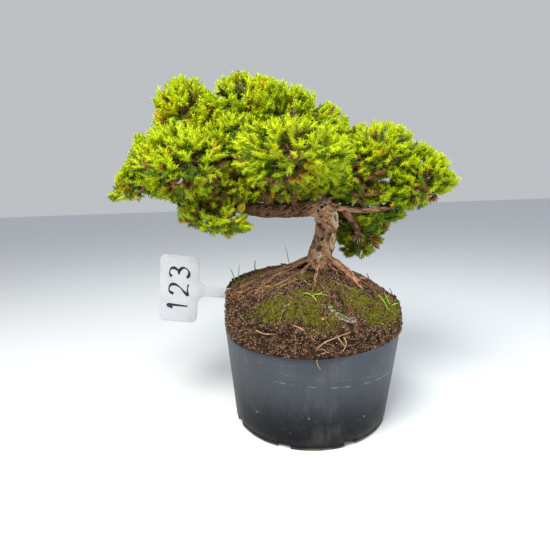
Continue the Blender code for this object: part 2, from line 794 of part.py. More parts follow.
def make_stem(mass, limb, pieces):
    """The mass's own stem, which takes over from its bough's tip and runs in to the mass's centre."""
    line, radii = limb
    along = (line[-1] - line[-2]).normalized()
    start = line[-1] + along * GAP
    stem = [start, start + along * STEM_LEAD, Vector(mass.centre)]
    thick = (radii[-1] * STEM_SHARES[0], radii[-1] * STEM_SHARES[1], TWIG_RADIUS[1])
    add_tube(mass.name + "_stem", stem, thick, STEM_SIDES, "bark", pieces)


def longest_spray(index, root, centre, heading, turn, space):
    """The longest spray from root that is clear of limbs and neighbours, or None."""
    for share in SPRAY_REACHES:
        tip = centre + heading * share
        if (tip - root).length < SHORTEST_SPRAY:
            return None
        rings, needles = spray_points(root, tip, turn)
        if space.holds(index, spray_samples(rings, needles, tip), REACH_LIMIT):
            return rings, needles, tip
    return None


def make_mass(index, mass, limbs, space):
    rng = random.Random(mass.seed)
    centre, reach = Vector(mass.centre), Vector(mass.reach)
    body = make_core(index, mass, space, rng)
    pieces = helper_collection(mass.name + "_pieces")
    make_stem(mass, limbs[mass.bough], pieces)
    for k, direction in enumerate(twig_directions(mass.twigs, rng)):
        end = centre + direction * reach * TWIG_SHARE
        walk = [centre.lerp(end, step / TWIG_WALK) for step in range(3, TWIG_WALK + 1)]
        if space.holds(index, walk, clearance=TWIG_RADIUS[0] + LIMB_CLEARANCE):
            add_tube(f"{mass.name}_twig_{k}", [centre, end], TWIG_RADIUS, 3, "bark", pieces)
        for j, spread in enumerate(SPRAY_SPREAD):
            aside = Matrix.Rotation(math.tau * j / len(SPRAY_SPREAD) + rng.uniform(0, 2), 3, direction)
            heading = (direction + spread * (aside @ direction.orthogonal().normalized())).normalized()
            root = centre + heading * reach * SPRAY_ROOT_SHARE
            heading = (heading + Vector((0, 0, SPRAY_LIFT))).normalized()
            spray = longest_spray(index, root, centre, heading * reach, rng.uniform(0, math.tau), space)
            if spray:
                add_spray(f"{mass.name}_spray_{k}_{j}", *spray, pieces)
    fuse(body, pieces)


def main():
    clear_scene()
    make_pot()
    make_root_ball()
    make_label()
    limbs = {"trunk": make_trunk()}
    make_boughs(limbs)
    space = Space(limbs)
    for index, mass in enumerate(MASSES):
        make_mass(index, mass, limbs, space)


main()
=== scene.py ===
"""Looks of a dwarf juniper trained as a small bonsai, in a cut-down round nursery pot.

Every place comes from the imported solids. Lengths are written in millimetres and turned into metres by MM.
"""

import json
import logging
import math
import random
from collections.abc import Callable, Iterator, Sequence
from dataclasses import dataclass, field
from enum import Enum

import bmesh
import bpy
import numpy as np
from bpy.types import Collection, Material, Node, NodeSocket, NodeTree, Object
from mathutils import Matrix, Vector, noise
from mathutils.kdtree import KDTree

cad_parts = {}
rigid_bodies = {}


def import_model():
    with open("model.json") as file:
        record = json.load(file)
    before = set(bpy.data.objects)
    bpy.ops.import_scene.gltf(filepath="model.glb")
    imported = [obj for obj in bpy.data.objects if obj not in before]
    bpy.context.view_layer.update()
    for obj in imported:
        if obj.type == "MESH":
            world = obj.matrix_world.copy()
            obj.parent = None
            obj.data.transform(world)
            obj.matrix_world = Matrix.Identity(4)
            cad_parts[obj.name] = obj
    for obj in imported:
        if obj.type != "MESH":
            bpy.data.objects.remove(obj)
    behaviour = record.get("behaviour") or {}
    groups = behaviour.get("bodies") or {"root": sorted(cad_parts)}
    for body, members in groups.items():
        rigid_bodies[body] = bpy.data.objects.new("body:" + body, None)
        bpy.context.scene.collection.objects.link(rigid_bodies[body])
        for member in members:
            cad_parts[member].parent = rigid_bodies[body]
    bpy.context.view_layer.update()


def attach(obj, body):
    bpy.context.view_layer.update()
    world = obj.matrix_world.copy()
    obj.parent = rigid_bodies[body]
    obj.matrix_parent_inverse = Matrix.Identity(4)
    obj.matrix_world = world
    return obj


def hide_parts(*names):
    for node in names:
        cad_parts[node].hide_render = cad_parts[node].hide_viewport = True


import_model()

MM = 0.001
GOLDEN_ANGLE = math.pi * (3 - math.sqrt(5))
BODY = "root"
UP = Vector((0, 0, 1))
log = logging.getLogger("juniper")

Colour = tuple[float, float, float]
Limb = tuple[list[Vector], list[float]]


# ---------------- node trees

class Graph:
    """A shader or geometry tree, with short calls for the nodes it needs most."""

    def __init__(self, tree: NodeTree) -> None:
        """Works on the tree."""
        self.tree = tree

    def node(self, kind: str, inputs: dict | None = None, **settings) -> Node:
        """Adds a node.

        Args:
            kind: the node's type name.
            inputs: socket name or index to a value, or to another node's output socket.
            settings: properties of the node itself.

        Returns:
            The new node.
        """
        node = self.tree.nodes.new(kind)
        for name, value in settings.items():
            setattr(node, name, value)
        for key, value in (inputs or {}).items():
            if isinstance(value, NodeSocket):
                self.tree.links.new(value, node.inputs[key])
            else:
                node.inputs[key].default_value = value
        return node

    def out(self, kind: str, inputs: dict | None = None, which: int | str = 0, **settings) -> NodeSocket:
        """Adds a node and returns one of its output sockets."""
        return self.node(kind, inputs, **settings).outputs[which]

    def maths(self, operation: str, *values) -> NodeSocket:
        """Returns the result of a Math node on the values."""
        return self.out("ShaderNodeMath", dict(enumerate(values)), operation=operation)

    def times(self, product, *others) -> NodeSocket:
        """Returns the product of the values, from left to right."""
        for other in others:
            product = self.maths("MULTIPLY", product, other)
        return product

    def plus(self, first, second) -> NodeSocket:
        """Returns the sum of two values."""
        return self.maths("ADD", first, second)

    def span(self, value, *ends) -> NodeSocket:
        """Returns the value carried from the first two ends over to the last two."""
        return self.out("ShaderNodeMapRange", dict(enumerate((value, *ends))))


class Shader(Graph):
    """The tree of a new material."""

    def __init__(self, name: str) -> None:
        """Makes the material."""
        self.material = bpy.data.materials.new(name)
        self.material.use_nodes = True
        super().__init__(self.material.node_tree)
        self.place = self.out("ShaderNodeTexCoord", which="Object")

    def stored(self, name: str, which: str = "Fac") -> NodeSocket:
        """Returns what the mesh stores under a name."""
        return self.out("ShaderNodeAttribute", which=which, attribute_name=name)

    def noise(self, scale: float, detail: float = 2.0, roughness: float = 0.5, distortion: float = 0.0,
              over: NodeSocket | None = None) -> NodeSocket:
        """Returns noise over the object's own place, or over another vector."""
        return self.out("ShaderNodeTexNoise", {"Vector": over or self.place, "Scale": scale, "Detail": detail,
                                               "Roughness": roughness, "Distortion": distortion})

    def ramp(self, factor: NodeSocket, *stops) -> NodeSocket:
        """Returns the colour of a ramp along factor, with stops of place and colour or grey value."""
        node = self.node("ShaderNodeValToRGB", {0: factor})
        elements = node.color_ramp.elements
        for i, (place, value) in enumerate(stops):
            stop = elements[i] if i < 2 else elements.new(place)
            stop.position = place
            stop.color = (*value, 1.0) if isinstance(value, tuple) else (value, value, value, 1.0)
        return node.outputs[0]

    def layers(self, body: NodeSocket | Colour, *coats) -> NodeSocket:
        """Returns the body under coats of factor and colour, laid on one after the other."""
        for factor, colour in coats:
            first, second = ((*c, 1.0) if isinstance(c, tuple) else c for c in (body, colour))
            body = self.out("ShaderNodeMix", {0: factor, 6: first, 7: second}, 2, data_type="RGBA")
        return body

    def close(self, body: NodeSocket | Colour, roughness: NodeSocket | float, specular: float = 0.5,
              bump: Sequence = ()) -> Material:
        """Wires up the Principled shader.

        Args:
            body: the base colour.
            roughness: the roughness.
            specular: the specular level.
            bump: the strength, the distance in metres and the height, where the surface has a fine bump.

        Returns:
            The finished material.
        """
        values = {"Base Color": (*body, 1.0) if isinstance(body, tuple) else body, "Roughness": roughness,
                  "Specular IOR Level": specular}
        if bump:
            values["Normal"] = self.out("ShaderNodeBump", dict(zip(("Strength", "Distance", "Height"), bump)))
        shader = self.tree.nodes["Principled BSDF"]
        for name, value in values.items():
            if isinstance(value, NodeSocket):
                self.tree.links.new(value, shader.inputs[name])
            else:
                shader.inputs[name].default_value = value
        return self.material


# ---------------- finishes

@dataclass(frozen=True)
class NeedleFinish:
    """A plain needle colour, dealt out shoot by shoot."""

    name: str
    colour: Colour
    roughness: float = 0.55

    def build(self) -> Material:
        """Returns the material."""
        return Shader(self.name).close(self.colour, self.roughness, 0.2)


@dataclass(frozen=True)
class BarkFinish:
    """Peeling bark: plates and fibres, with painted shade in its clefts and where the mesh stores shade, pale
    on scars and mossy where the mesh says so.
    """

    name: str = "juniper_bark"
    ridge: Colour = (0.56, 0.36, 0.205)
    plain: Colour = (0.36, 0.18, 0.085)
    groove: Colour = (0.042, 0.018, 0.007)
    weathered: Colour = (0.56, 0.44, 0.33)
    moss: Colour = (0.36, 0.34, 0.03)
    healed: Colour = (0.76, 0.63, 0.46)
    rosy: Colour = (0.54, 0.28, 0.18)

    def build(self) -> Material:
        """Returns the material."""
        s = Shader(self.name)
        depth, shade, scar, moss, rosy = map(s.stored, ("relief", "shade", "scar", "moss", "rosy"))
        strand, patch = s.noise(1.3, 7.0, 0.68, 0.5, s.stored("fibre", "Vector")), s.noise(210.0, 5.0)
        # The groove colour also serves as painted shade: laid by the relief in the clefts and hollows, and by
        # the stored shade.
        body = s.layers(
            s.ramp(strand, (0.30, self.groove), (0.44, self.plain), (0.64, self.ridge)),
            (s.times(s.ramp(patch, (0.5, 0.0), (0.62, 1.0)), 0.42), self.weathered),
            (s.times(rosy, 0.6), self.rosy), (s.ramp(patch, (0.3, 0.6), (0.42, 0.0)), self.groove),
            (s.ramp(depth, (0.16, 0.88), (0.46, 0.0)), self.groove), (s.times(shade, 0.76), self.groove),
            (s.times(scar, 0.85), self.healed),
            (s.times(moss, s.ramp(patch, (0.36, 0.2), (0.55, 1.0))), self.moss))
        return s.close(body, 0.9, 0.1, (0.7, 0.0007, s.plus(strand, s.times(patch, 0.7))))


@dataclass(frozen=True)
class GrainFinish:
    """A matt, grainy natural finish with two mixed tones and a fine bump."""

    name: str
    dark: Colour
    light: Colour
    scale: float = 500.0
    roughness: float = 0.9
    bump: float = 0.4

    def build(self) -> Material:
        """Returns the material."""
        s = Shader(self.name)
        grain = s.noise(self.scale, 5.0, 0.6)
        tone = s.ramp(grain, (0.35, self.dark), (0.66, self.light))
        return s.close(tone, self.roughness, 0.15, (self.bump, 0.0004, grain))


@dataclass(frozen=True)
class PeatFinish:
    """Dark peat: chocolate crumbs, rusty coir, moss where the mesh says so, and painted shade in the skin's
    pits.
    """

    dark: Colour = (0.012, 0.007, 0.005)
    brown: Colour = (0.078, 0.039, 0.023)
    rust: Colour = (0.30, 0.155, 0.085)
    moss_dark: Colour = (0.035, 0.038, 0.005)
    moss_light: Colour = (0.17, 0.17, 0.015)

    def build(self) -> Material:
        """Returns the material."""
        s = Shader("peat")
        fine, wide = s.noise(900.0, 5.0), s.noise(210.0, 4.0)
        green = s.ramp(fine, (0.38, self.moss_dark), (0.62, self.moss_light))
        cover = s.ramp(s.plus(s.stored("moss"), s.times(wide, 0.5)), (0.62, 0.0), (0.8, 1.0))
        body = s.layers(
            s.ramp(wide, (0.36, self.dark), (0.54, self.brown), (0.72, self.rust)),
            (s.ramp(fine, (0.42, 0.0), (0.62, 0.85)), self.dark), (cover, green),
            # Painted shade in the skin's pits, by the stored relief.
            (s.ramp(s.stored("relief"), (0.25, 0.8), (0.5, 0.0)), self.dark))
        return s.close(body, 0.95, 0.1, (0.8, 0.0009, fine))


@dataclass(frozen=True)
class PotPlastic:
    """Satin blue-grey plastic with a painted reflection, light above and dark below, and with nesting scuffs,
    spots and a dusty foot line.
    """

    # Painted reflection by height: the top colour above, the dark colour below, blended along the tone ramp.
    painted_reflection_top: Colour = (0.054, 0.063, 0.077)
    dark: Colour = (0.0035, 0.0045, 0.0065)
    scuffed: Colour = (0.30, 0.29, 0.27)
    dust: Colour = (0.30, 0.21, 0.13)
    mud: Colour = (0.02, 0.012, 0.008)
    tone: tuple = ((0.22, 0.0), (0.32, 0.12), (0.44, 0.5), (0.56, 0.85), (0.7, 1.0))
    # Each scuff: its fall along x, its height in metres where x is 0, half its width, and its strength.
    scuffs: tuple = ((0.075, 0.0566, 0.0004, 0.42), (0.12, 0.0633, 0.0003, 0.2),
                     (-0.05, 0.0745, 0.0003, 0.12))
    # Each spot: its place and radius in metres, and whether it is pale.
    spots: tuple = (((-0.0313, -0.0699, 0.0768), 0.0012, False), ((-0.031, -0.070, 0.0786), 0.0009, False),
                    ((0.0375, -0.0603, 0.0237), 0.0009, True), ((-0.0066, -0.0713, 0.0298), 0.0008, True),
                    ((-0.047, -0.0535, 0.026), 0.0013, True), ((0.055, 0.049, 0.05), 0.0012, True))

    def build(self) -> Material:
        """Returns the material."""
        s = Shader("pot_plastic_worn")
        height = s.out("ShaderNodeSeparateXYZ", {0: s.place}, 2)
        streaks = s.out("ShaderNodeMapping", {"Vector": s.place, "Scale": (150.0, 150.0, 22.0)})
        rub, cloud, speck = s.noise(1.0, 7.0, 0.7, 0.0, streaks), s.noise(45.0, 5.0), s.noise(1300.0)
        # Height for the painted reflection, broken up by the rubbed streaks.
        reflection_and_rub = s.plus(s.times(height, 10.0), s.times(rub, 0.14))
        patchy = s.ramp(cloud, (0.4, 0.15), (0.56, 1.0))
        grit = s.ramp(s.noise(240.0, 4.0), (0.44, 0.0), (0.6, 1.0))
        smear = s.times(s.ramp(cloud, (0.5, 0.0), (0.72, 0.13)), s.ramp(rub, (0.4, 0.1), (0.62, 1.0)))
        coats = [(smear, self.scuffed)]
        for fall, rise, half, strength in self.scuffs:
            tilted = s.out("ShaderNodeVectorMath", {0: s.place, 1: (fall, 0.0, 1.0)}, "Value",
                           operation="DOT_PRODUCT")
            off = s.maths("ABSOLUTE", s.maths("SUBTRACT", tilted, rise))
            line = s.span(off, half * 2, half * 0.6, 0.0, strength)
            coats.append((s.times(line, patchy, grit), self.scuffed))
        for spot, radius, pale in self.spots:
            away = s.out("ShaderNodeVectorMath", {0: s.place, 1: spot}, "Value", operation="DISTANCE")
            coats.append((s.span(away, radius, radius * 0.5, 0.0, 0.9), self.scuffed if pale else self.mud))
        foot = s.times(s.span(height, 0.0028, 0.0006, 0.0, 0.8), patchy)
        fleck = s.times(s.ramp(speck, (0.68, 0.0), (0.73, 1.0)), 0.6)
        body = s.layers(self.dark, (s.ramp(reflection_and_rub, *self.tone), self.painted_reflection_top), *coats,
                        (s.maths("MAXIMUM", foot, fleck), self.dust))
        return s.close(body, s.span(rub, 0.35, 0.7, 0.38, 0.5), 0.13, (0.12, 0.0003, speck))


@dataclass(frozen=True)
class LabelPlastic:
    """White label plastic, slightly grubby."""

    name: str = "label_white"
    white: Colour = (0.47, 0.485, 0.52)
    grubby: Colour = (0.39, 0.40, 0.42)

    def build(self) -> Material:
        """Returns the material."""
        s = Shader(self.name)
        body = s.layers(self.white, (s.ramp(s.noise(70.0, 5.0), (0.5, 0.0), (0.75, 0.7)), self.grubby))
        return s.close(body, 0.38, 0.5, (0.1, 0.0002, s.noise(1500.0)))


# ---------------- meshes

def new_object(name: str, points: Sequence, faces: Sequence, edges: Sequence = ()) -> Object:
    """Returns a linked object from points in millimetres and the corner numbers of faces and edges."""
    mesh = bpy.data.meshes.new(name)
    mesh.from_pydata((np.asarray(points, float).reshape(-1, 3) * MM).tolist(), list(edges), list(faces))
    mesh.update()
    return linked(bpy.data.objects.new(name, mesh))


def linked(obj: Object) -> Object:
    """Puts an object into the scene and returns it."""
    bpy.context.scene.collection.objects.link(obj)
    return obj


def applied(obj: Object) -> Object:
    """Returns the object with its modifiers turned into a plain mesh."""
    bpy.context.view_layer.update()
    graph = bpy.context.evaluated_depsgraph_get()
    made = bpy.data.meshes.new_from_object(obj.evaluated_get(graph))
    obj.modifiers.clear()
    old, obj.data = obj.data, made
    bpy.data.meshes.remove(old)
    made.name = obj.name
    return obj


def finish_piece(obj: Object, nodes: Sequence[str] = (), finish=None, sharp: float = 0.0) -> None:
    """Finishes a piece: dresses it, parents it to the body and hides the solids that it stands for.

    Args:
        obj: the piece, in its place.
        nodes: the solids that it stands for.
        finish: the finish that it wears with smooth faces, where it isn't dressed yet.
        sharp: the angle in degrees from which its edges stay sharp, or 0.
    """
    if finish:
        obj.data.materials.clear()
        obj.data.materials.append(finish.build())
        obj.data.shade_smooth()
    if sharp:
        obj.data.set_sharp_from_angle(angle=math.radians(sharp))
    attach(obj, BODY)
    if nodes:
        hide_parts(*nodes)
    log.info("%s: %d faces", obj.name, len(obj.data.polygons))


def smooth_line(points: Sequence[Vector], steps: int) -> list[Vector]:
    """Returns a Catmull-Rom curve through the points, with that many samples on each stretch."""
    ends = [2 * points[0] - points[1], *points, 2 * points[-1] - points[-2]]
    line = []
    for a, b, c, d in zip(ends, ends[1:], ends[2:], ends[3:]):
        for step in range(steps):
            t = step / steps
            line.append(0.5 * (2 * b + (c - a) * t + (2 * a - 5 * b + 4 * c - d) * t * t
                               + (3 * b - a - 3 * c + d) * t ** 3))
    line.append(points[-1].copy())
    return line


def tube_rings(line: Sequence[Vector], radii: Sequence[float], sides: int) -> list[list[Vector]]:
    """Returns rings square to the line, each of that many corners."""
    ahead, behind = [*line[1:], line[-1]], [line[0], *line[:-1]]
    tangents = [(after - before).normalized() for after, before in zip(ahead, behind)]
    across = tangents[0].orthogonal().normalized()
    rings = []
    for centre, radius, tangent in zip(line, radii, tangents):
        across = (across - tangent * across.dot(tangent)).normalized()
        other = tangent.cross(across)
        turns = (math.tau * k / sides for k in range(sides))
        rings.append([centre + radius * (math.cos(a) * across + math.sin(a) * other) for a in turns])
    return rings


def lofted(name: str, *bodies: Sequence[Sequence[Vector]]) -> Object:
    """Returns closed bodies as one object, each made of rings of equal length bridged one after the other."""
    points, faces = [], []
    for rings in bodies:
        count, first = len(rings[0]), len(points)
        for ring in rings:
            points.extend(ring)
        last = first + (len(rings) - 1) * count
        for low in range(first, last, count):
            for i in range(count):
                j = (i + 1) % count
                faces.append((low + i, low + j, low + count + j, low + count + i))
        faces += [tuple(range(first + count - 1, first - 1, -1)), tuple(range(last, last + count))]
    return new_object(name, points, faces)


def outward(obj: Object) -> Object:
    """Merges doubles, turns the faces outwards and returns the object."""
    bm = bmesh.new()
    bm.from_mesh(obj.data)
    bmesh.ops.remove_doubles(bm, verts=bm.verts, dist=1e-7)
    bmesh.ops.recalc_face_normals(bm, faces=bm.faces)
    bm.to_mesh(obj.data)
    bm.free()
    return obj


def set_attribute(obj: Object, name: str, values: np.ndarray) -> None:
    """Stores a number or a vector on every point of a mesh."""
    vector = values.ndim == 2
    layer = obj.data.attributes.new(name, "FLOAT_VECTOR" if vector else "FLOAT", "POINT")
    layer.data.foreach_set("vector" if vector else "value", values.astype(np.float32).ravel())


def read(source, key: str) -> np.ndarray:
    """Returns three numbers for each element of a mesh's collection."""
    values = np.empty(len(source) * 3, np.float32)
    source.foreach_get(key, values)
    return values.reshape(-1, 3).astype(float)


def skin_of(obj: Object) -> tuple[np.ndarray, np.ndarray]:
    """Returns the mesh's points in millimetres, and its point normals."""
    return read(obj.data.vertices, "co") / MM, read(obj.data.vertex_normals, "vector")


def move_points(obj: Object, points: np.ndarray) -> None:
    """Sets the mesh's points, in millimetres."""
    obj.data.vertices.foreach_set("co", (points * MM).astype(np.float32).ravel())
    obj.data.update()


# ---------------- geometry node trees

class PathTree(Graph):
    """A geometry tree that works on paths or a surface, with named inputs set by their identifiers."""

    def __init__(self, name: str, numbers: Sequence[str], whole: str) -> None:
        """Makes the tree with its number inputs, one whole number and the finish."""
        super().__init__(bpy.data.node_groups.new(name, "GeometryNodeTree"))
        face = self.tree.interface
        for way in ("INPUT", "OUTPUT"):
            face.new_socket(name="Geometry", in_out=way, socket_type="NodeSocketGeometry")
        kinds = {**dict.fromkeys(numbers, "Float"), whole: "Int", "Finish": "Material"}
        self.identifiers = {
            label: face.new_socket(name=label, in_out="INPUT", socket_type="NodeSocket" + kind).identifier
            for label, kind in kinds.items()
        }
        self.given = self.node("NodeGroupInput").outputs
        self.exit = self.node("NodeGroupOutput")

    def stored(self, name: str, kind: str = "FLOAT") -> NodeSocket:
        """Returns what the mesh stores under a name."""
        return self.out("GeometryNodeInputNamedAttribute", {"Name": name}, data_type=kind)

    def draw(self, least, most, seed: NodeSocket | int = 0) -> NodeSocket:
        """Returns a random number or vector between two ends."""
        vector = isinstance(least, tuple)
        first = 0 if vector else 2
        return self.out("FunctionNodeRandomValue", {first: least, first + 1: most, "Seed": seed},
                        0 if vector else 1, data_type="FLOAT_VECTOR" if vector else "FLOAT")

    def spike(self, foot, length) -> NodeSocket:
        """Returns an open three-sided spike with that radius at its foot."""
        return self.out("GeometryNodeMeshCone", {
            "Vertices": 3, "Side Segments": 1, "Radius Top": 0.0, "Radius Bottom": foot, "Depth": length},
            fill_type="NONE")

    def strewn(self, points: NodeSocket, shape: NodeSocket, start: NodeSocket, turn: NodeSocket,
               scale: NodeSocket) -> NodeSocket:
        """Returns the shape on every point, turned from a start by Euler angles in its own space."""
        turn = self.out("FunctionNodeEulerToRotation", {0: turn})
        turned = self.out("FunctionNodeRotateRotation", {0: start, 1: turn}, rotation_space="LOCAL")
        return self.out("GeometryNodeInstanceOnPoints", {
            "Points": points, "Instance": shape, "Rotation": turned, "Scale": scale})

    def tube(self, curve: NodeSocket, sides: NodeSocket | int, thick: NodeSocket, caps: bool) -> NodeSocket:
        """Returns a tube along a curve."""
        ring = self.out("GeometryNodeCurvePrimitiveCircle", {"Resolution": sides, "Radius": 1.0},
                        mode="RADIUS")
        return self.out("GeometryNodeCurveToMesh", {
            "Curve": curve, "Profile Curve": ring, "Scale": thick, "Fill Caps": caps})

    def close(self, geometry: NodeSocket) -> None:
        """Ends the tree in Realize Instances and Set Material."""
        real = self.out("GeometryNodeRealizeInstances", {0: geometry})
        dressed = self.out("GeometryNodeSetMaterial", {0: real, "Material": self.given["Finish"]})
        self.tree.links.new(dressed, self.exit.inputs[0])

    def run(self, obj: Object, **values) -> Object:
        """Turns the object into what the tree makes of it.

        Args:
            obj: the object that holds the paths or the surface.
            values: input names, with _ for a space, and their values.

        Returns:
            The same object, now a plain mesh.
        """
        modifier = obj.modifiers.new(self.tree.name, "NODES")
        modifier.node_group = self.tree
        for label, value in values.items():
            modifier[self.identifiers[label.replace("_", " ")]] = value
        return applied(obj)


def shoot_tree() -> PathTree:
    """Returns the tree that sets needles round a green core along every path."""
    made = PathTree("NeedledShoots", ("Spacing", "Needle Length", "Needle Width", "Base Lean", "Tip Lean",
                                      "Tip Length", "Core Radius"), "Seed")
    given, times, plus, span = made.given, made.times, made.plus, made.span
    curve = made.out("GeometryNodeMeshToCurve", {0: given["Geometry"]})
    size, share = made.node("ShaderNodeSeparateXYZ", {0: made.stored("shape", "FLOAT_VECTOR")}).outputs[:2]
    late = made.maths("POWER", share, 3.0)
    fine = made.out("GeometryNodeResampleCurve", {"Curve": curve, "Length": given["Spacing"]}, mode="LENGTH")
    along = made.out("FunctionNodeAlignRotationToVector", {"Vector": made.out("GeometryNodeInputTangent")},
                     axis="Z")
    sway = made.draw(-0.16, 0.16, given["Seed"])
    stretch = made.draw(0.82, 1.18, plus(given["Seed"], 1.0))
    lean = span(made.maths("POWER", share, 2.6), 0.0, 1.0, given["Base Lean"], given["Tip Lean"])
    spin = plus(times(made.out("GeometryNodeInputIndex"), GOLDEN_ANGLE), times(sway, 2.0))
    turn = made.out("ShaderNodeCombineXYZ", {1: plus(lean, sway), 2: spin})
    long = times(span(late, 0.0, 1.0, 1.0, given["Tip Length"]), stretch, size)
    scale = made.out("ShaderNodeCombineXYZ", {0: size, 1: size, 2: long})
    needle = made.spike(times(given["Needle Width"], 0.5), given["Needle Length"])
    needles = made.strewn(fine, needle, along, turn, scale)
    few = made.out("GeometryNodeResampleCurve", {"Curve": curve, "Count": 4}, mode="COUNT")
    core = made.tube(few, 4, times(given["Core Radius"], span(late, 0.0, 1.0, 1.0, 0.25), size), False)
    both = made.node("GeometryNodeJoinGeometry", {0: needles})
    made.tree.links.new(core, both.inputs[0])
    made.close(both.outputs[0])
    return made


def tube_tree() -> PathTree:
    """Returns the tree that turns every path into a tapering tube, by the radius stored on its points."""
    made = PathTree("TaperedTubes", (), "Sides")
    curve = made.out("GeometryNodeMeshToCurve", {0: made.given["Geometry"]})
    tube = made.tube(curve, made.given["Sides"], made.stored("thick"), True)
    made.close(made.out("GeometryNodeSetShadeSmooth", {0: tube, "Shade Smooth": True}))
    return made


@dataclass
class Paths:
    """Open paths, gathered as one mesh of loose edges with a number on every point."""

    attribute: str = "thick"
    points: list = field(default_factory=list)
    edges: list = field(default_factory=list)
    values: list = field(default_factory=list)

    def add(self, line: Sequence[Vector], values: Sequence[float]) -> None:
        """Adds one path with its values, one for each point."""
        first = len(self.points)
        self.points.extend(line)
        self.values.extend(values)
        self.edges.extend((first + i, first + i + 1) for i in range(len(line) - 1))

    def build(self, name: str, scale: float = 1.0) -> Object:
        """Returns the paths as an object, with the values times scale as an attribute."""
        obj = new_object(name, self.points, (), self.edges)
        set_attribute(obj, self.attribute, np.array(self.values) * scale)
        return obj

    def tubes(self, name: str, finish, slot: str = "peat", sides: int = 5) -> Object:
        """Returns the paths as tapering tubes, finished as a piece unless slot is empty."""
        piece = tube_tree().run(self.build(name, MM), Sides=sides, Finish=finish.build())
        if slot:
            finish_piece(piece)
        return piece


# ---------------- limbs

# The trunk's middle line: x, y and z, and its radius there.
TRUNK_LINE = (
    ((11.0, 8.0, 129.3), 13.2), ((11.4, 8.2, 134.0), 12.0), ((12.5, 8.5, 142.0), 10.8),
    ((15.8, 9.0, 151.0), 10.3), ((18.2, 9.0, 161.0), 9.3), ((18.6, 8.5, 171.0), 9.9),
    ((17.0, 8.0, 180.0), 10.2), ((14.5, 7.6, 187.0), 7.8), ((12.5, 7.4, 190.8), 3.4),
)


@dataclass(frozen=True)
class Bough:
    """One tapering limb, which leaves its parent at a share of the parent's length."""

    name: str
    parent: str
    leaves_at: float
    through: tuple
    radius: tuple


# The boughs: name, parent, where it leaves, places that it runs through, first and last radius.
BOUGHS = (
    Bough("left_main_bough", "trunk", 0.80,
          ((-10, 4.5, 182.6), (-28, 2.5, 182.6), (-46, 1.5, 184.6), (-58, 1, 187)), (7, 5.6)),
    Bough("left_far_bough", "left_main_bough", 1,
          ((-80, 0, 193), (-102, 0, 202), (-114, 0, 205.5)), (4, 2.2)),
    Bough("left_rising_bough", "left_main_bough", 0.82,
          ((-60, 8, 212), (-80, 10, 232), (-90, 9, 242)), (3, 1.8)),
    Bough("left_front_bough", "left_main_bough", 0.88,
          ((-62, -14, 196), (-76, -23, 206)), (2.4, 1.6)),
    Bough("left_hanging_bough", "left_main_bough", 0.78,
          ((-55, -4, 175), (-63, -6, 174.5)), (2, 1.5)),
    Bough("top_left_bough", "left_main_bough", 0.50,
          ((-37, 4, 212), (-46, 2, 236), (-50, 1, 247)), (3, 1.8)),
    Bough("front_upright_bough", "left_main_bough", 0.24,
          ((-12, -13, 199), (-13, -26, 207), (-13, -34, 211)), (2.8, 1.8)),
    Bough("top_centre_bough", "trunk", 1,
          ((5, 10, 212), (-3, 9, 232), (-6, 8, 241)), (3, 1.9)),
    Bough("back_left_bough", "left_main_bough", 0.66,
          ((-52, 26, 204), (-68, 42, 218), (-73, 48, 223)), (2.6, 1.6)),
    Bough("back_centre_bough", "trunk", 0.86,
          ((7, 32, 204), (-3, 46, 218)), (3, 1.8)),
    Bough("right_back_bough", "trunk", 0.90,
          ((26, 27, 208), (30, 38, 230), (31, 41, 236)), (2.2, 1.5)),
    Bough("right_upper_bough", "trunk", 0.93,
          ((42, 12, 197), (54, 11, 206), (60, 10, 211)), (2, 1.5)),
    Bough("right_low_bough", "trunk", 0.84,
          ((37, 9, 181.5), (55, 7.5, 179.5), (73, 5, 181.5), (80, 3, 186)), (3.4, 1.8)),
    Bough("right_rear_bough", "trunk", 0.80,
          ((36, 30, 190), (44, 38, 198)), (2.4, 1.5)),
    Bough("lower_right_bough", "trunk", 0.70,
          ((36, 24, 169), (45, 33, 163)), (2.4, 1.6)),
    Bough("hanging_snag", "right_low_bough", 0.20,
          ((43, 11, 169), (47, 12, 161), (45.5, 12, 155.5), (42, 12, 154.5)), (2.5, 1.5)),
)

# Surface roots: compass angle, length from the trunk's axis, radius at the trunk, and turn along the way.
SURFACE_ROOTS = (
    (38, 40, 2, 0), (86, 44, 2.1, 8), (138, 46, 1.9, 10), (163, 62, 1.2, 14),
    (177, 80, 1.35, 8), (190, 86, 1.2, 3), (226, 50, 1.1, 8), (-40, 46, 1.1, -14),
)

# Roots that lie on the mound in plain sight: first and last radius, then x, y and height above the mound.
LAID_ROOTS = (
    (2.7, 1.0, ((18, 0, 11), (26, -6, 5.5), (30.5, -14, 2.4), (35, -24, 1.4), (39, -30.5, 0.9),
               (42.5, -35, 0.3))),
    (1.9, 1.1, ((19, 7, 13), (28, 2, 7), (33, -2, 3.8), (36.5, -8, 1.8), (38, -18, 0.8), (41, -24, 0.2))),
    (2.2, 0.8, ((10, -2, 12), (8.5, -10, 5.5), (7, -15, 2.4), (4, -30, 1.2), (1, -43, 0.3))),
    (0.9, 0.6, ((18, -3, 6), (23, -10, 2), (24, -17.5, 1), (22.3, -32.7, 0.5))),
    (1.35, 0.7, ((2, 4, 10), (-13, 0, 3), (-28, -10, 1), (-38, -25, 0.7), (-47, -34, 0.4))),
    (1.35, 0.7, ((3, -1, 7), (-6, -10, 2), (-16, -21.6, 1), (-29, -30.6, 0.7), (-39, -32, 0.6),
                (-47, -36, 0.4))),
    (1.35, 0.7, ((0, 8, 11), (-23, 8, 2), (-40, -2, 0.8), (-54, -10, 0.6), (-66, -4, 0.4))),
)


def held(value: float) -> float:
    """Returns the value, held between 0 and 1."""
    return max(0.0, min(1.0, value))


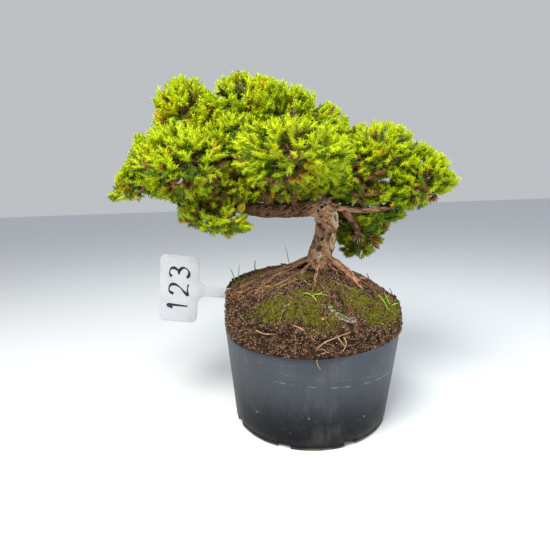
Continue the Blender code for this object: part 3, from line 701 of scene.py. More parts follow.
def taper(first: float, last: float, count: int) -> list[float]:
    """Returns evenly spaced numbers from first to last."""
    return np.linspace(first, last, count).tolist()


def level(angle: float) -> Vector:
    """Returns the level direction at an angle."""
    return Vector((math.cos(angle), math.sin(angle), 0))


def rotation(degrees: float, axis: str) -> Matrix:
    """Returns a turn round an axis."""
    return Matrix.Rotation(math.radians(degrees), 3, axis)


def point_on(limb: Limb, share: float) -> tuple[Vector, float, Vector]:
    """Returns the place, radius and direction at a share of a limb's length."""
    line, radii = limb
    place = share * (len(line) - 1)
    i = min(int(place), len(line) - 2)
    t = place - i
    return line[i].lerp(line[i + 1], t), radii[i] + (radii[i + 1] - radii[i]) * t, (
        line[i + 1] - line[i]).normalized()


@dataclass
class Pot:
    """The cut-down pot: sizes of its wall, hand-cut rim and drain notches."""

    base_radius: float = 68.3
    taper: float = 0.105
    lean: float = 0.035
    wall: float = 1.6
    floor: float = 2.4
    rim: float = 84.0
    rim_rise_x: float = 0.8
    rim_rise_y: float = 3.2
    notches: int = 8
    notch: tuple[float, float, float] = (11.0, 5.0, 9.0)

    def rim_height(self, angle: float) -> float:
        """Returns the height of the cut rim at an angle."""
        return self.rim + self.rim_rise_x * math.cos(angle) + self.rim_rise_y * math.sin(angle)

    def ring(self, height_at: Callable[[float], float], inset: float = 0.0, sides: int = 264) -> list[Vector]:
        """Returns a ring of the wall at height_at(angle), inset from the outer face."""
        ring = []
        for k in range(sides):
            angle = math.tau * k / sides
            z = height_at(angle)
            radius = self.base_radius + self.taper * z - inset
            ring.append(Vector((self.lean * z + radius * math.cos(angle), radius * math.sin(angle), z)))
        return ring

    def cut_height(self, angle: float, drop: float = 0.0) -> float:
        """Returns the height of the rim with the knife's small waves."""
        wave = noise.noise(Vector((math.cos(angle) * 5, math.sin(angle) * 5, 3.0))) * 0.5
        nick = noise.noise(Vector((math.cos(angle) * 34, math.sin(angle) * 34, 9.0))) * 0.22
        return self.rim_height(angle) - 0.25 + wave + nick - drop

    def build(self) -> None:
        """Builds the pot with its notches."""
        foot = ((0.0, 3.2), (0.0, 1.0), (0.25, 0.35), (1.0, 0.0), (3.4, 0.0), (3.8, 0.22), (4.4, 0.22),
                (4.8, 0.0))
        knife = ((0.35, 0.0), (0.0, 0.3), (-0.1, 0.9), (0.0, self.wall - 0.2), (0.4, self.wall))
        shares = (0.12, 0.3, 0.5, 0.7, 0.85, 0.95)
        rings = [self.ring(lambda a, z=z: z, inset) for z, inset in foot]
        rings += [self.ring(lambda a, s=s: s * self.rim_height(a)) for s in shares]
        rings += [self.ring(lambda a, d=drop: self.cut_height(a, d), inset) for drop, inset in knife]
        rings += [self.ring(lambda a, s=s: s * self.rim_height(a), self.wall) for s in reversed(shares[2:])]
        pot = outward(lofted("nursery_pot", [*rings, self.ring(lambda a: self.floor, self.wall)]))
        cut = pot.modifiers.new("Notches", "BOOLEAN")
        cut.operation, cut.solver, cut.operand_type = "DIFFERENCE", "EXACT", "COLLECTION"
        cutters = cut.collection = self.cutters()
        applied(pot)
        for cutter in list(cutters.objects):
            bpy.data.objects.remove(cutter, do_unlink=True)
        finish_piece(pot, ["pot"], PotPlastic(), 38)

    def cutters(self) -> Collection:
        """Returns a collection of blocks, one for each drain notch."""
        collection = bpy.data.collections.new("notch_cutters")
        bpy.context.scene.collection.children.link(collection)
        width, height, depth = self.notch
        for k in range(self.notches):
            angle = math.tau * (k + 0.5) / self.notches
            bm = bmesh.new()
            bmesh.ops.create_cube(bm, size=1.0)
            bmesh.ops.scale(bm, vec=(2 * depth, width, 2 * height), verts=bm.verts)
            bmesh.ops.rotate(bm, matrix=Matrix.Rotation(angle, 3, "Z"), verts=bm.verts)
            out = level(angle) * self.base_radius
            bmesh.ops.translate(bm, vec=out, verts=bm.verts)
            bmesh.ops.scale(bm, vec=(MM, MM, MM), verts=bm.verts)
            mesh = bpy.data.meshes.new(f"notch_cutter_{k}")
            bm.to_mesh(mesh)
            bm.free()
            cutter = bpy.data.objects.new(mesh.name, mesh)
            cutter.hide_render = True
            collection.objects.link(cutter)
        return collection


@dataclass
class Mound:
    """The shape of the root ball's top and free side."""

    pot: Pot
    foot: tuple[float, float] = (11.0, 8.0)
    ground: float = 129.0
    patch: float = 16.0
    shoulder: float = 107.5
    fall_x: float = 8.0
    rise_y: float = 9.0
    shoulder_radius: float = 71.0
    bulge: float = 76.0
    curve: float = 2.5
    swell: tuple = ((0.9, 3, 1.0), (0.6, 7, 0.0))
    overhang: float = 2.0
    dip: float = 5.5
    dip_at: float = 0.75
    halvings: int = 18

    def shoulder_height(self, angle: float) -> float:
        """Returns the height of the mound's edge at an angle."""
        return self.shoulder - self.fall_x * math.cos(angle) + self.rise_y * math.sin(angle)

    def ring_of(self, share: float) -> tuple[Vector, float]:
        """Returns centre and radius of a ring, from the trunk's patch (0) to the shoulder (1)."""
        middle = Vector((self.pot.lean * self.shoulder, 0, 0))
        centre = Vector((*self.foot, 0)).lerp(middle, share)
        return centre, self.patch + (self.shoulder_radius - self.patch) * share

    def top(self, share: float, angle: float) -> Vector:
        """Returns a point of the mound's top; shares below zero run in to the foot's centre."""
        centre, radius = self.ring_of(max(share, 0.0))
        if share < 0:
            radius *= 1 + share
        z = self.ground - (self.ground - self.shoulder_height(angle)) * max(share, 0.0) ** self.curve
        z -= self.dip * max(0.0, math.cos(angle - self.dip_at)) ** 2 * math.sin(math.pi * max(share, 0.0))
        return Vector((centre.x + radius * math.cos(angle), centre.y + radius * math.sin(angle), z))

    def side(self, share: float, angle: float) -> Vector:
        """Returns a point of the free side, from the rim (0) to the shoulder (1)."""
        low, high = self.pot.rim_height(angle), self.shoulder_height(angle)
        z = low + (high - low) * share
        swell = sum(size * math.sin(count * angle + phase) for size, count, phase in self.swell)
        radius = self.bulge + swell + self.overhang * (1 - share)
        return Vector((self.pot.lean * z + radius * math.cos(angle), radius * math.sin(angle), z))

    def height(self, x: float, y: float) -> float:
        """Returns the height of the mound over a point."""
        low, high = 0.0, 1.0
        for _ in range(self.halvings):
            share = (low + high) / 2
            centre, radius = self.ring_of(share)
            if math.hypot(x - centre.x, y - centre.y) > radius:
                low = share
            else:
                high = share
        return self.top(share, math.atan2(y - centre.y, x - centre.x)).z


@dataclass
class Skeleton:
    """Centre lines and radii of the trunk, its roots and the boughs."""

    mound: Mound
    root_steps: int = 24
    root_start: float = 5.0
    root_tip: float = 0.7
    root_arch: float = 12.0
    limbs: dict[str, Limb] = field(default_factory=dict)
    roots: list[Limb] = field(default_factory=list)

    def grow(self) -> None:
        """Works out every line from the named sizes."""
        line = smooth_line([Vector(point) for point, _ in TRUNK_LINE], 6)
        steps = np.linspace(0, len(TRUNK_LINE) - 1, len(line))
        radii = np.interp(steps, range(len(TRUNK_LINE)), [radius for _, radius in TRUNK_LINE])
        self.limbs["trunk"] = (line, radii.tolist())
        for bough in BOUGHS:
            start = point_on(self.limbs[bough.parent], bough.leaves_at)[0]
            line = smooth_line([start, *(Vector(point) for point in bough.through)], 6)
            last = len(line) - 1
            first, end = bough.radius
            self.limbs[bough.name] = (line, [first + (end - first) * i / last for i in range(last + 1)])
        self.roots = [self.root(*root) for root in SURFACE_ROOTS]
        self.roots += [self.laid_root(*root) for root in LAID_ROOTS]

    def laid_root(self, first: float, last: float, places: Sequence[tuple]) -> Limb:
        """Returns a root through the places given, never under the mound's skin."""
        line = smooth_line([Vector((x, y, self.mound.height(x, y) + lift)) for x, y, lift in places], 6)
        radii = (np.linspace(first ** 0.5, last ** 0.5, len(line)) ** 2).tolist()
        for k, point in enumerate(line):
            point.x += 0.5 * math.sin(0.9 * k + first)
            point.z = max(point.z, self.mound.height(point.x, point.y) + 0.35 * radii[k])
        return line, [radius * (1 + 0.1 * math.sin(1.3 * k + last)) for k, radius in enumerate(radii)]

    def root(self, compass: float, length: float, radius: float, turn: float) -> Limb:
        """Returns a root that arches off the trunk's foot and follows the mound."""
        foot = Vector((*self.mound.foot, 0))
        line, radii = [], []
        for step in range(self.root_steps + 1):
            share = step / self.root_steps
            angle = math.radians(compass + turn * share)
            out = level(angle)
            reach = self.root_start + (length - self.root_start) * share
            wander = 2.6 * share * math.sin(5.0 * share + math.radians(3 * compass))
            point = foot + out * reach + Vector((-out.y, out.x, 0)) * wander
            thick = radius + (self.root_tip - radius) * share ** 1.4
            arch = self.root_arch * max(0.0, 1 - 2.2 * share) ** 1.5
            point.z = self.mound.height(point.x, point.y) + 0.55 * thick + arch
            line.append(point)
            radii.append(thick * (1 + 0.12 * math.sin(9 * share + compass)))
        return line, radii


@dataclass(frozen=True)
class Knot:
    """A mark on the trunk: a ring round a hollow or a knob, at a height and a compass angle."""

    height: float
    compass: float
    radius: float
    ring: float = 0.0
    hollow: float = 0.0
    stretch: float = 1.0
    pale: float = 0.0
    moss: float = 0.0


# Marks on the trunk, most of them on the side that faces the eye.
KNOTS = (
    Knot(175, -43, 2.9, 1.9, 4.4, 1.35, 0.95), Knot(169, -38, 2.6, 0.9, -1, 1, 0.7),
    Knot(173.5, -146, 2.2, 0.5, -2.4, 1, 0.3), Knot(166, -156, 2, 0.4, -2.2),
    Knot(157, -117, 2.2, 1, 1.3, 1.1, 0.3), Knot(142.5, -109, 2.8, 0.3, -2, 1, 0.6),
    Knot(154, -50, 2.3, 1.1, 1.6, 2.3, 0.85, 1), Knot(184.5, -104, 1.9, 1.1, 2.4, 1, 0.5),
    Knot(186, -76, 1.5, 0.9, 2, 1, 0.5), Knot(180.5, -66, 1.3, 0.7, 1.7, 1, 0.4),
    Knot(181, -128, 1.6, 0.8, 1.8, 1, 0.3), Knot(148, -140, 1.9, 0.4, -1.9),
    Knot(161, -75, 1.6, 0.6, 1, 1.6), Knot(175, 150, 2.6, 1, 1.8, 1.2, 0.5),
    Knot(158, 70, 2.4, 0.9, -1.6, 1, 0.4), Knot(147, 10, 2, 0.6, 1.4),
)


@dataclass
class Bark:
    """One mesh with the bark's relief over the trunk, its roots and every bough."""

    skeleton: Skeleton
    voxel: float = 0.62
    groove: float = 1.05
    twist: float = 0.05
    warp: float = 1.7
    # Noise steps across and along a limb, for strands, fine fibres and plates.
    strand_step: tuple[float, float] = (0.48, 0.13)
    fine_step: tuple[float, float] = (1.3, 0.3)
    plate_step: tuple[float, float] = (0.3, 0.14)
    # Widths of a knot's ring and bowl as a share of its radius, and how hollow a knot must be to get painted
    # shade inside.
    ring_width: float = 0.3
    bowl_width: float = 0.72
    deep: float = 1.4
    root_top: float = 142.0
    snag_girth: float = 1.3

    def build(self) -> None:
        """Builds the bark and the dead snag."""
        limbs = dict(self.skeleton.limbs)
        line, radii = limbs.pop("hanging_snag")
        living = [*limbs.values(), *self.skeleton.roots]
        wood = self.carve(self.fused("bark_of_trunk_and_boughs", living), living, KNOTS)
        finish_piece(wood, list(limbs), BarkFinish())
        snag = (line, [self.snag_girth * radius for radius in radii])
        dead = self.carve(self.fused("dead_snag", [snag, *self.snag_twigs(snag)]), [snag])
        finish_piece(dead, ["hanging_snag"], BarkFinish(
            "dead_bark", (0.23, 0.125, 0.065), (0.12, 0.06, 0.03), (0.04, 0.018, 0.01), (0.34, 0.22, 0.14)))

    def snag_twigs(self, snag: Limb) -> list[Limb]:
        """Returns the short broken twigs of the snag."""
        twigs = []
        for share, out, radius in ((0.35, (3.5, -3, -2.0), 0.9), (0.62, (-3.0, -2.5, 3.0), 0.8),
                                   (0.86, (-1.0, -3.5, -2.5), 0.7)):
            start = point_on(snag, share)[0]
            twigs.append(([start, start + Vector(out) * 0.6, start + Vector(out)], [radius, radius, 0.6]))
        return twigs

    def fused(self, name: str, limbs: Sequence[Limb]) -> Object:
        """Returns the limbs as one even skin."""
        obj = lofted(name, *(tube_rings(line, radii, 16 if radii[0] > 5 else 10) for line, radii in limbs))
        skin = obj.modifiers.new("Skin", "REMESH")
        skin.mode, skin.voxel_size = "VOXEL", self.voxel * MM
        calm = obj.modifiers.new("Calm", "SMOOTH")
        calm.factor, calm.iterations = 0.5, 3
        return applied(obj)

    def knot_place(self, knot: Knot) -> np.ndarray:
        """Returns the middle of a knot on the trunk's skin."""
        line, radii = self.skeleton.limbs["trunk"]
        near = min(range(len(line)), key=lambda i: abs(line[i].z - knot.height))
        angle = math.radians(knot.compass)
        out = level(angle) * radii[near]
        return np.array([line[near].x + out.x, line[near].y + out.y, knot.height])

    def carve(self, obj: Object, limbs: Sequence[Limb], knots: Sequence[Knot] = ()) -> Object:
        """Presses plates, fibres and knots into the skin.

        Args:
            obj: the smooth skin.
            limbs: the limbs whose run the fibres follow.
            knots: the rings, hollows and knobs on the trunk.

        Returns:
            The same object, carved.
        """
        tree, frames = self.fibre_frames(limbs)
        points, normals = skin_of(obj)
        count = len(points)
        fibre, push, relief, shade = np.zeros_like(points), np.zeros(count), np.zeros(count), np.zeros(count)
        for i, place in enumerate(points):
            point = Vector(place)
            fibre[i], push[i], relief[i] = self.grain(point, frames[tree.find(point)[1]])
            # Painted shade on the left bough's underside near the trunk, under the crown, added to patchy
            # noise darkening.
            under = held((7.0 - place[0]) / 9.0) * (0.9 if place[2] > 173 else 0.0)
            shade[i] = min(1.0, max(0.0, noise.noise(point * 0.07 + Vector((4, 0, 0)))) + under)
        rosy, left_roots = self.root_tints(points)
        # Painted shade on the roots to the left.
        shade = np.maximum(shade, 0.55 * left_roots)
        scar, moss = np.zeros(count), np.zeros(count)
        for knot in knots:
            away = (points - self.knot_place(knot)) / (knot.radius, knot.radius, knot.radius * knot.stretch)
            far = np.linalg.norm(away, axis=1)
            bare = 1.0 - knot.moss
            ring, bowl = np.exp(-((far - 1.05) / self.ring_width) ** 2), np.exp(-(far / self.bowl_width) ** 2)
            push += knot.ring * ring - knot.hollow * bowl
            scar = np.maximum(scar, knot.pale * np.maximum(ring, bowl if knot.hollow < 0 else 0))
            moss = np.maximum(moss, knot.moss * bowl)
            # Painted shade inside the hollows, through the relief and the stored shade.
            relief -= max(0.0, knot.hollow) * 0.6 * bowl * bare
            shade = np.maximum(shade, (knot.hollow > self.deep) * bare * np.exp(-(far / 0.7) ** 4))
        move_points(obj, points + normals * push[:, None])
        for name, values in (("fibre", fibre), ("relief", np.clip(relief, 0, 1)), ("shade", shade),
                             ("scar", scar), ("moss", moss), ("rosy", rosy)):
            set_attribute(obj, name, values)
        return obj

    def grain(self, point: Vector, nearest: tuple) -> tuple[tuple, float, float]:
        """Works out the bark at a point.

        Args:
            point: a point of the smooth skin.
            nearest: the frame at the nearest place on the centre lines.

        Returns:
            The place in the fibres' own space, how far the skin moves out, and its relief, which paints shade
            into the clefts.
        """
        centre, along, across, other, run, radius, offset = nearest
        away = point - centre
        s, u, v = run + away.dot(along), away.dot(across), away.dot(other)
        size = math.hypot(u, v) or 1.0
        u, v = u / size * radius, v / size * radius
        twist = self.twist * s
        u, v = u * math.cos(twist) - v * math.sin(twist), u * math.sin(twist) + v * math.cos(twist)
        warp = self.warp * noise.noise(point * 0.22)
        u, v, s = u + warp, v - warp, s + 2.0 * warp
        (wide, long), (thin, short), (broad, tall) = self.strand_step, self.fine_step, self.plate_step
        strands = 1 - abs(noise.noise(Vector((u * wide + offset, v * wide, s * long)))) * 2.8
        fine = 1 - abs(noise.noise(Vector((u * thin, v * thin + offset, s * short)))) * 2.2
        plate = noise.noise(Vector((u * broad, v * broad, s * tall + offset)))
        step = 0.55 * max(-1.0, min(1.0, plate / 0.06))
        lump = 0.9 * noise.noise(point * 0.13 + Vector((3, 1, 7)))
        depth = 0.55 * strands + 0.3 * fine + 0.3 * step
        strength = self.groove * min(1.0, radius / 7.0) + 0.12
        push = strength * (depth - 0.6 + lump * min(1.0, radius / 8.0))
        # Low relief marks the clefts, which get painted shade.
        return (u * 0.5 + offset, v * 0.5, s * 0.11), push, 0.22 + 0.62 * depth

    def root_tints(self, points: np.ndarray) -> tuple[np.ndarray, np.ndarray]:
        """Returns how rosy each point is, and how far it belongs to the shaded roots on the left."""
        x, y, z = points.T
        foot = self.skeleton.mound.foot
        from_foot, low = np.hypot(x - foot[0], y - foot[1]), z < self.root_top
        rosy = np.clip((from_foot - 11.0) / 3.0, 0, 1) * low
        rosy = np.maximum(rosy, 0.8 * (x > 30) * (z > 170) * (z < 192))
        left_roots = (x < 3) * low * np.clip((from_foot - 10.0) / 5.0, 0, 1)
        return rosy * (1 - 0.65 * left_roots), left_roots

    def fibre_frames(self, limbs: Sequence[Limb]) -> tuple[KDTree, list]:
        """Returns a search tree over the limbs' centre lines, and the frame at each of its points."""
        frames = []
        for number, (line, radii) in enumerate(limbs):
            run = 0.0
            across = (line[1] - line[0]).orthogonal().normalized()
            for a, b, low, high in zip(line, line[1:], radii, radii[1:]):
                along = (b - a).normalized()
                across = (across - along * across.dot(along)).normalized()
                length = (b - a).length
                count = max(1, math.ceil(length))
                for i in range(count):
                    t = i / count
                    frames.append((a.lerp(b, t), along, across, along.cross(across), run + length * t,
                                   low + (high - low) * t, number * 7.3))
                run += length
        tree = KDTree(len(frames))
        for i, entry in enumerate(frames):
            tree.insert(entry[0], i)
        tree.balance()
        return tree, frames


# ---------------- foliage

EYE = Vector((-28.3, -332.5, 195.0))

# The crown's edge as seen from the eye, on the upright plane through the pot's middle: x and z.
OUTLINE = (
    (-170, 198), (-164, 206), (-159, 217), (-149, 229), (-144, 240), (-141, 249), (-137, 251), (-128, 252),
    (-124, 261), (-121, 270), (-123, 278), (-117, 284), (-111, 288), (-99, 294), (-89, 293), (-77, 289),
    (-76, 277), (-71, 284), (-64, 292), (-56, 296), (-47, 294), (-39, 292), (-31, 290), (-16, 286),
    (-3, 283), (11, 278), (9, 260), (17, 267), (21, 269), (32, 261), (39, 253), (35, 243), (43, 250),
    (52, 252), (62, 255), (71, 252), (82, 248), (96, 237), (111, 227), (119, 225), (124, 218), (125, 209),
    (132, 204), (129, 197), (115, 190), (106, 183), (96, 178), (86, 173), (71, 164), (62, 161), (71, 155),
    (63, 145), (55, 139), (41, 136), (34, 139), (27, 147), (23, 163), (14, 177), (-5, 179), (-35, 172),
    (-42, 166), (-56, 167), (-60, 164), (-65, 156), (-72, 166), (-78, 161), (-84, 163), (-93, 168),
    (-108, 170), (-111, 177), (-110, 188), (-115, 195), (-124, 197), (-139, 194), (-154, 195), (-163, 193),
)
# Small openings in the crown, seen the same way: x, z and radius.
OPENINGS = ((-75, 284, 4.5), (-55, 186, 4.8), (68, 205, 3.6), (60, 190, 3.0), (52, 243, 2.4),
            (-132, 238, 2.6), (-145, 204, 1.8), (-108, 190, 2.6), (-47, 283, 2.0), (8, 274, 1.8))
# Where the bare limbs show, seen the same way, and nothing hangs in front: x from, x to, z from, z to.
WINDOWS = ((-50, 26, 172, 188), (26, 72, 180, 187), (4, 30, 130, 188))
# Where old needles have dried brown, and where shoots are golden: x, z and radius.
DRIED = ((-68, 205, 20), (-12, 202, 12), (50, 206, 15), (96, 192, 9), (-40, 196, 14), (-112, 203, 8))
GOLDEN = ((-123, 270, 15), (-129, 232, 13), (6, 212, 17), (-150, 200, 10), (-40, 276, 12), (60, 232, 14),
          (-88, 262, 12), (100, 208, 10))


@dataclass(frozen=True)
class Mass:
    """One mass of foliage: an egg-shaped space that a stem grows into."""

    name: str
    bough: str
    centre: tuple
    reach: tuple
    seed: int
    region: str
    leaves_at: float = 1.0
    # How much darker its shoots are dealt: painted shade, partly the real deeper colour of shaded growth.
    gloom: float = 0.0


# The masses: name, bough, middle, reach, seed, region, where the stem leaves its bough, and gloom.
MASSES = (
    Mass("left_tip_foliage", "left_far_bough", (-139, 0, 212), (36, 36, 25), 11, "left"),
    Mass("left_upper_foliage", "left_rising_bough", (-101, 8, 261), (35, 38, 34), 12, "left"),
    Mass("left_front_foliage", "left_front_bough", (-95, -30, 222), (37, 30, 30), 13, "left"),
    Mass("left_hanging_foliage", "left_hanging_bough", (-78, -9, 178), (38, 28, 20), 14, "left", 1, 0.5),
    Mass("top_left_foliage", "top_left_bough", (-52, 0, 266), (34, 36, 31), 15, "middle"),
    Mass("front_foliage", "front_upright_bough", (-14, -48, 224), (44, 30, 26), 16, "middle"),
    Mass("top_centre_foliage", "top_centre_bough", (-8, 8, 260), (36, 38, 31), 17, "middle"),
    Mass("back_left_foliage", "back_left_bough", (-85, 60, 236), (40, 36, 34), 18, "back"),
    Mass("back_centre_foliage", "back_centre_bough", (-15, 62, 236), (40, 36, 34), 19, "back"),
    Mass("right_back_foliage", "right_back_bough", (32, 45, 253), (27, 28, 28), 20, "back"),
    Mass("right_upper_foliage", "right_upper_bough", (72, 4, 228), (36, 38, 29), 31, "right"),
    Mass("right_tip_foliage", "right_low_bough", (100, 0, 205), (32, 34, 28), 22, "right"),
    Mass("right_rear_foliage", "right_rear_bough", (62, 52, 214), (36, 32, 28), 23, "right"),
    Mass("lower_right_foliage", "lower_right_bough", (60, 45, 152), (32, 25, 26), 24, "right", 1, 1.2),
)

# Thinner foliage that closes the crown between the masses. It stands for no solid of its own.
LINKS = (
    Mass("left_shoulder", "left_rising_bough", (-124, 0, 236), (24, 28, 20), 41, "left"),
    Mass("left_underside", "left_far_bough", (-104, -2, 197), (24, 26, 13), 42, "left", 0.7, 0.3),
    Mass("left_heart", "left_main_bough", (-66, -4, 207), (28, 30, 20), 43, "left", 0.95, 0.2),
    Mass("top_dip", "top_left_bough", (-77, 4, 252), (24, 32, 26), 44, "middle", 0.8),
    Mass("top_ridge", "top_left_bough", (-30, 2, 264), (22, 34, 27), 45, "middle"),
    Mass("front_heart", "left_main_bough", (-26, -2, 205), (32, 28, 18), 46, "middle", 0.35, 0.2),
    Mass("front_left_heart", "top_left_bough", (-55, -20, 238), (28, 26, 22), 47, "middle", 0.7),
    Mass("bend_cover", "trunk", (16, 4, 208), (26, 26, 18), 48, "middle", 1, 0.3),
    Mass("right_dip", "top_centre_bough", (18, 14, 240), (24, 30, 20), 49, "right", 0.9),
    Mass("right_heart", "right_upper_bough", (46, 14, 212), (26, 26, 22), 50, "right", 0.7, 0.2),
    Mass("right_underside", "right_low_bough", (76, 6, 192), (26, 24, 13), 51, "right", 0.8, 0.2),
    Mass("right_fringe", "right_low_bough", (66, 14, 174), (24, 18, 10), 53, "right", 0.6, 0.7),
    Mass("right_crook", "right_low_bough", (48, 10, 195), (20, 16, 9), 55, "right", 0.45, 0.3),
    Mass("snag_cover", "lower_right_bough", (42, 34, 172), (16, 14, 14), 56, "right", 0.6, 1),
    Mass("limb_crest", "left_main_bough", (-22, 10, 197), (36, 16, 10), 57, "middle", 0.5, 1),
    Mass("bend_back", "right_rear_bough", (34, 28, 196), (28, 12, 10), 58, "right", 0.35, 1.2),
    Mass("back_heart", "back_left_bough", (-50, 44, 216), (34, 30, 24), 52, "back", 0.8, 0.4),
    Mass("back_middle", "back_centre_bough", (2, 34, 205), (42, 24, 20), 54, "back", 0.5, 0.5),
)
ALL_MASSES = MASSES + LINKS
REGIONS = ("left", "middle", "back", "right")


class Kind(Enum):
    """The kinds of needles, each with its finish."""

    FRESH = NeedleFinish("needles_fresh", (0.46, 0.57, 0.004))
    GREEN = NeedleFinish("needles_green", (0.34, 0.44, 0.006))
    DEEP = NeedleFinish("needles_deep", (0.105, 0.175, 0.006))
    GOLD = NeedleFinish("needles_gold", (0.54, 0.40, 0.008))
    DRY = NeedleFinish("needles_dry", (0.24, 0.115, 0.04), 0.8)


# The kinds at a shoot's end by the light it gets, and at its foot, each with the draw that it lasts to.
BY_LIGHT = (
    (-0.1, ((0.88, Kind.FRESH), (1.0, Kind.GREEN))),
    (-0.65, ((0.5, Kind.FRESH), (0.92, Kind.GREEN), (1.0, Kind.DEEP))),
    (-math.inf, ((0.62, Kind.GREEN), (0.94, Kind.DEEP), (1.0, Kind.DRY))),
)
AT_FOOT = ((0.55, Kind.GREEN), (0.78, Kind.DEEP), (0.92, Kind.GOLD), (1.0, Kind.DRY))


def picked(chances: Sequence[tuple[float, Kind]], draw: float) -> Kind:
    """Returns the kind that a draw falls on."""
    return next(kind for share, kind in chances if draw < share)


def in_spot(spots: Sequence[tuple], x: float, z: float) -> bool:
    """Tells whether a place on the front plane is in one of the spots."""
    return any(math.hypot(x - u, z - v) < radius for u, v, radius in spots)


@dataclass
class Silhouette:
    """The crown as the eye sees it: its outline, openings and bare limbs."""

    limb_plane: float = 4.0
    tries: tuple = (1.0, 0.92, 0.84, 0.76, 0.68, 0.6, 0.52)

    def __post_init__(self) -> None:
        """Gathers the outline's edges."""
        self.starts = np.array(OUTLINE, float)
        self.ends = np.roll(self.starts, -1, axis=0)

    def seen(self, point: Vector) -> tuple[float, float]:
        """Returns where the eye sees a point, on the upright plane through the pot's middle."""
        share = -EYE.y / (point.y - EYE.y)
        return EYE.x + (point.x - EYE.x) * share, EYE.z + (point.z - EYE.z) * share

    def holds(self, point: Vector) -> bool:
        """Tells whether a point is inside the outline, in no opening and in front of no bare limb."""
        x, z = self.seen(point)
        if in_spot(OPENINGS, x, z):
            return False
        if point.y < self.limb_plane and any(a < x < b and low < z < high for a, b, low, high in WINDOWS):
            return False
        (x0, z0), (x1, z1) = self.starts.T, self.ends.T
        spans = (z0 > z) != (z1 > z)
        reach = x0[spans] + (z - z0[spans]) * (x1 - x0)[spans] / (z1 - z0)[spans]
        return bool((x < reach).sum() % 2)

    def trimmed(self, root: Vector, tip: Vector, beyond: float) -> Vector | None:
        """Returns the furthest tip that stays inside the outline.

        Args:
            root: the shoot's foot.
            tip: where it would end.
            beyond: how far its needles reach past its tip.

        Returns:
            The tip, drawn back along the shoot, or None where too little is left.
        """
        ahead = (tip - root).normalized() * beyond
        for share in self.tries:
            spot = root.lerp(tip, share)
            if self.holds(spot + ahead) and self.holds(root.lerp(spot, 0.6)):
                return spot
        return None


@dataclass
class Space:
    """Shares the crown out among the masses, clear of the limbs."""

    skeleton: Skeleton

    def __post_init__(self) -> None:
        """Gathers the masses' spaces and the limbs as strings of balls."""
        self.centres = np.array([mass.centre for mass in ALL_MASSES], float)
        self.reaches = np.array([mass.reach for mass in ALL_MASSES], float)
        beads, thick = [], []
        for name in ("trunk", "left_main_bough", "right_low_bough"):
            line, radii = self.skeleton.limbs[name]
            beads += [tuple(point) for point in line]
            thick += radii
        self.beads, self.thick = np.array(beads), np.array(thick)

    def depths(self, points: np.ndarray) -> np.ndarray:
        """Returns each point's distance from each mass's centre, as a share of the reach."""
        return np.linalg.norm((points[:, None] - self.centres) / self.reaches, axis=2)

    def holds(self, index: int, points: Sequence, slack: float = 0.16, clear: float = 3.0) -> bool:
        """Tells whether every point is nearer to its own mass than to another, and clear of the limbs."""
        spots = np.asarray([tuple(point) for point in points], float)
        depth = self.depths(spots)
        own = depth[:, index].copy()
        depth[:, index] = np.inf
        if (depth.min(axis=1) < own - slack).any():
            return False
        away = np.linalg.norm(spots[:, None] - self.beads, axis=2) - self.thick
        return bool(away.min() > clear)


def around(direction: Vector, angle: float, turn: float) -> Vector:
    """Returns a direction turned aside by an angle, at a turn round it."""
    across = direction.orthogonal().normalized()
    aside = Matrix.Rotation(turn, 3, direction) @ across
    return (direction * math.cos(angle) + aside * math.sin(angle)).normalized()


def golden_cap(direction: Vector, width: float, count: int, turn: float) -> Iterator[Vector]:
    """Yields directions spread evenly over a cap by the golden angle."""
    for k in range(count):
        yield around(direction, width * math.sqrt((k + 0.5) / count), turn + k * GOLDEN_ANGLE)


def golden_ball(count: int, turn: float) -> Iterator[Vector]:
    """Yields directions spread evenly over a ball by the golden angle."""
    for k in range(count):
        z = 1 - 2 * (k + 0.5) / count
        ring = math.sqrt(1 - z * z)
        yield Vector((ring * math.cos(turn + k * GOLDEN_ANGLE), ring * math.sin(turn + k * GOLDEN_ANGLE), z))


def bowed(start: Vector, end: Vector, lift: Vector, steps: int) -> list[Vector]:
    """Returns a line from start to end that bows towards lift."""
    middle = start.lerp(end, 0.5) + lift
    line = []
    for i in range(steps + 1):
        t = i / steps
        line.append(start * (1 - t) ** 2 + middle * 2 * t * (1 - t) + end * t * t)
    return line


@dataclass(frozen=True)
class ShootStyle:
    """How densely a kind of shoot is needled."""

    spacing: float = 0.38
    needle_length: float = 4.0
    needle_width: float = 1.15
    base_lean: float = 52.0
    tip_lean: float = 36.0
    tip_length: float = 0.78
    core_radius: float = 1.9


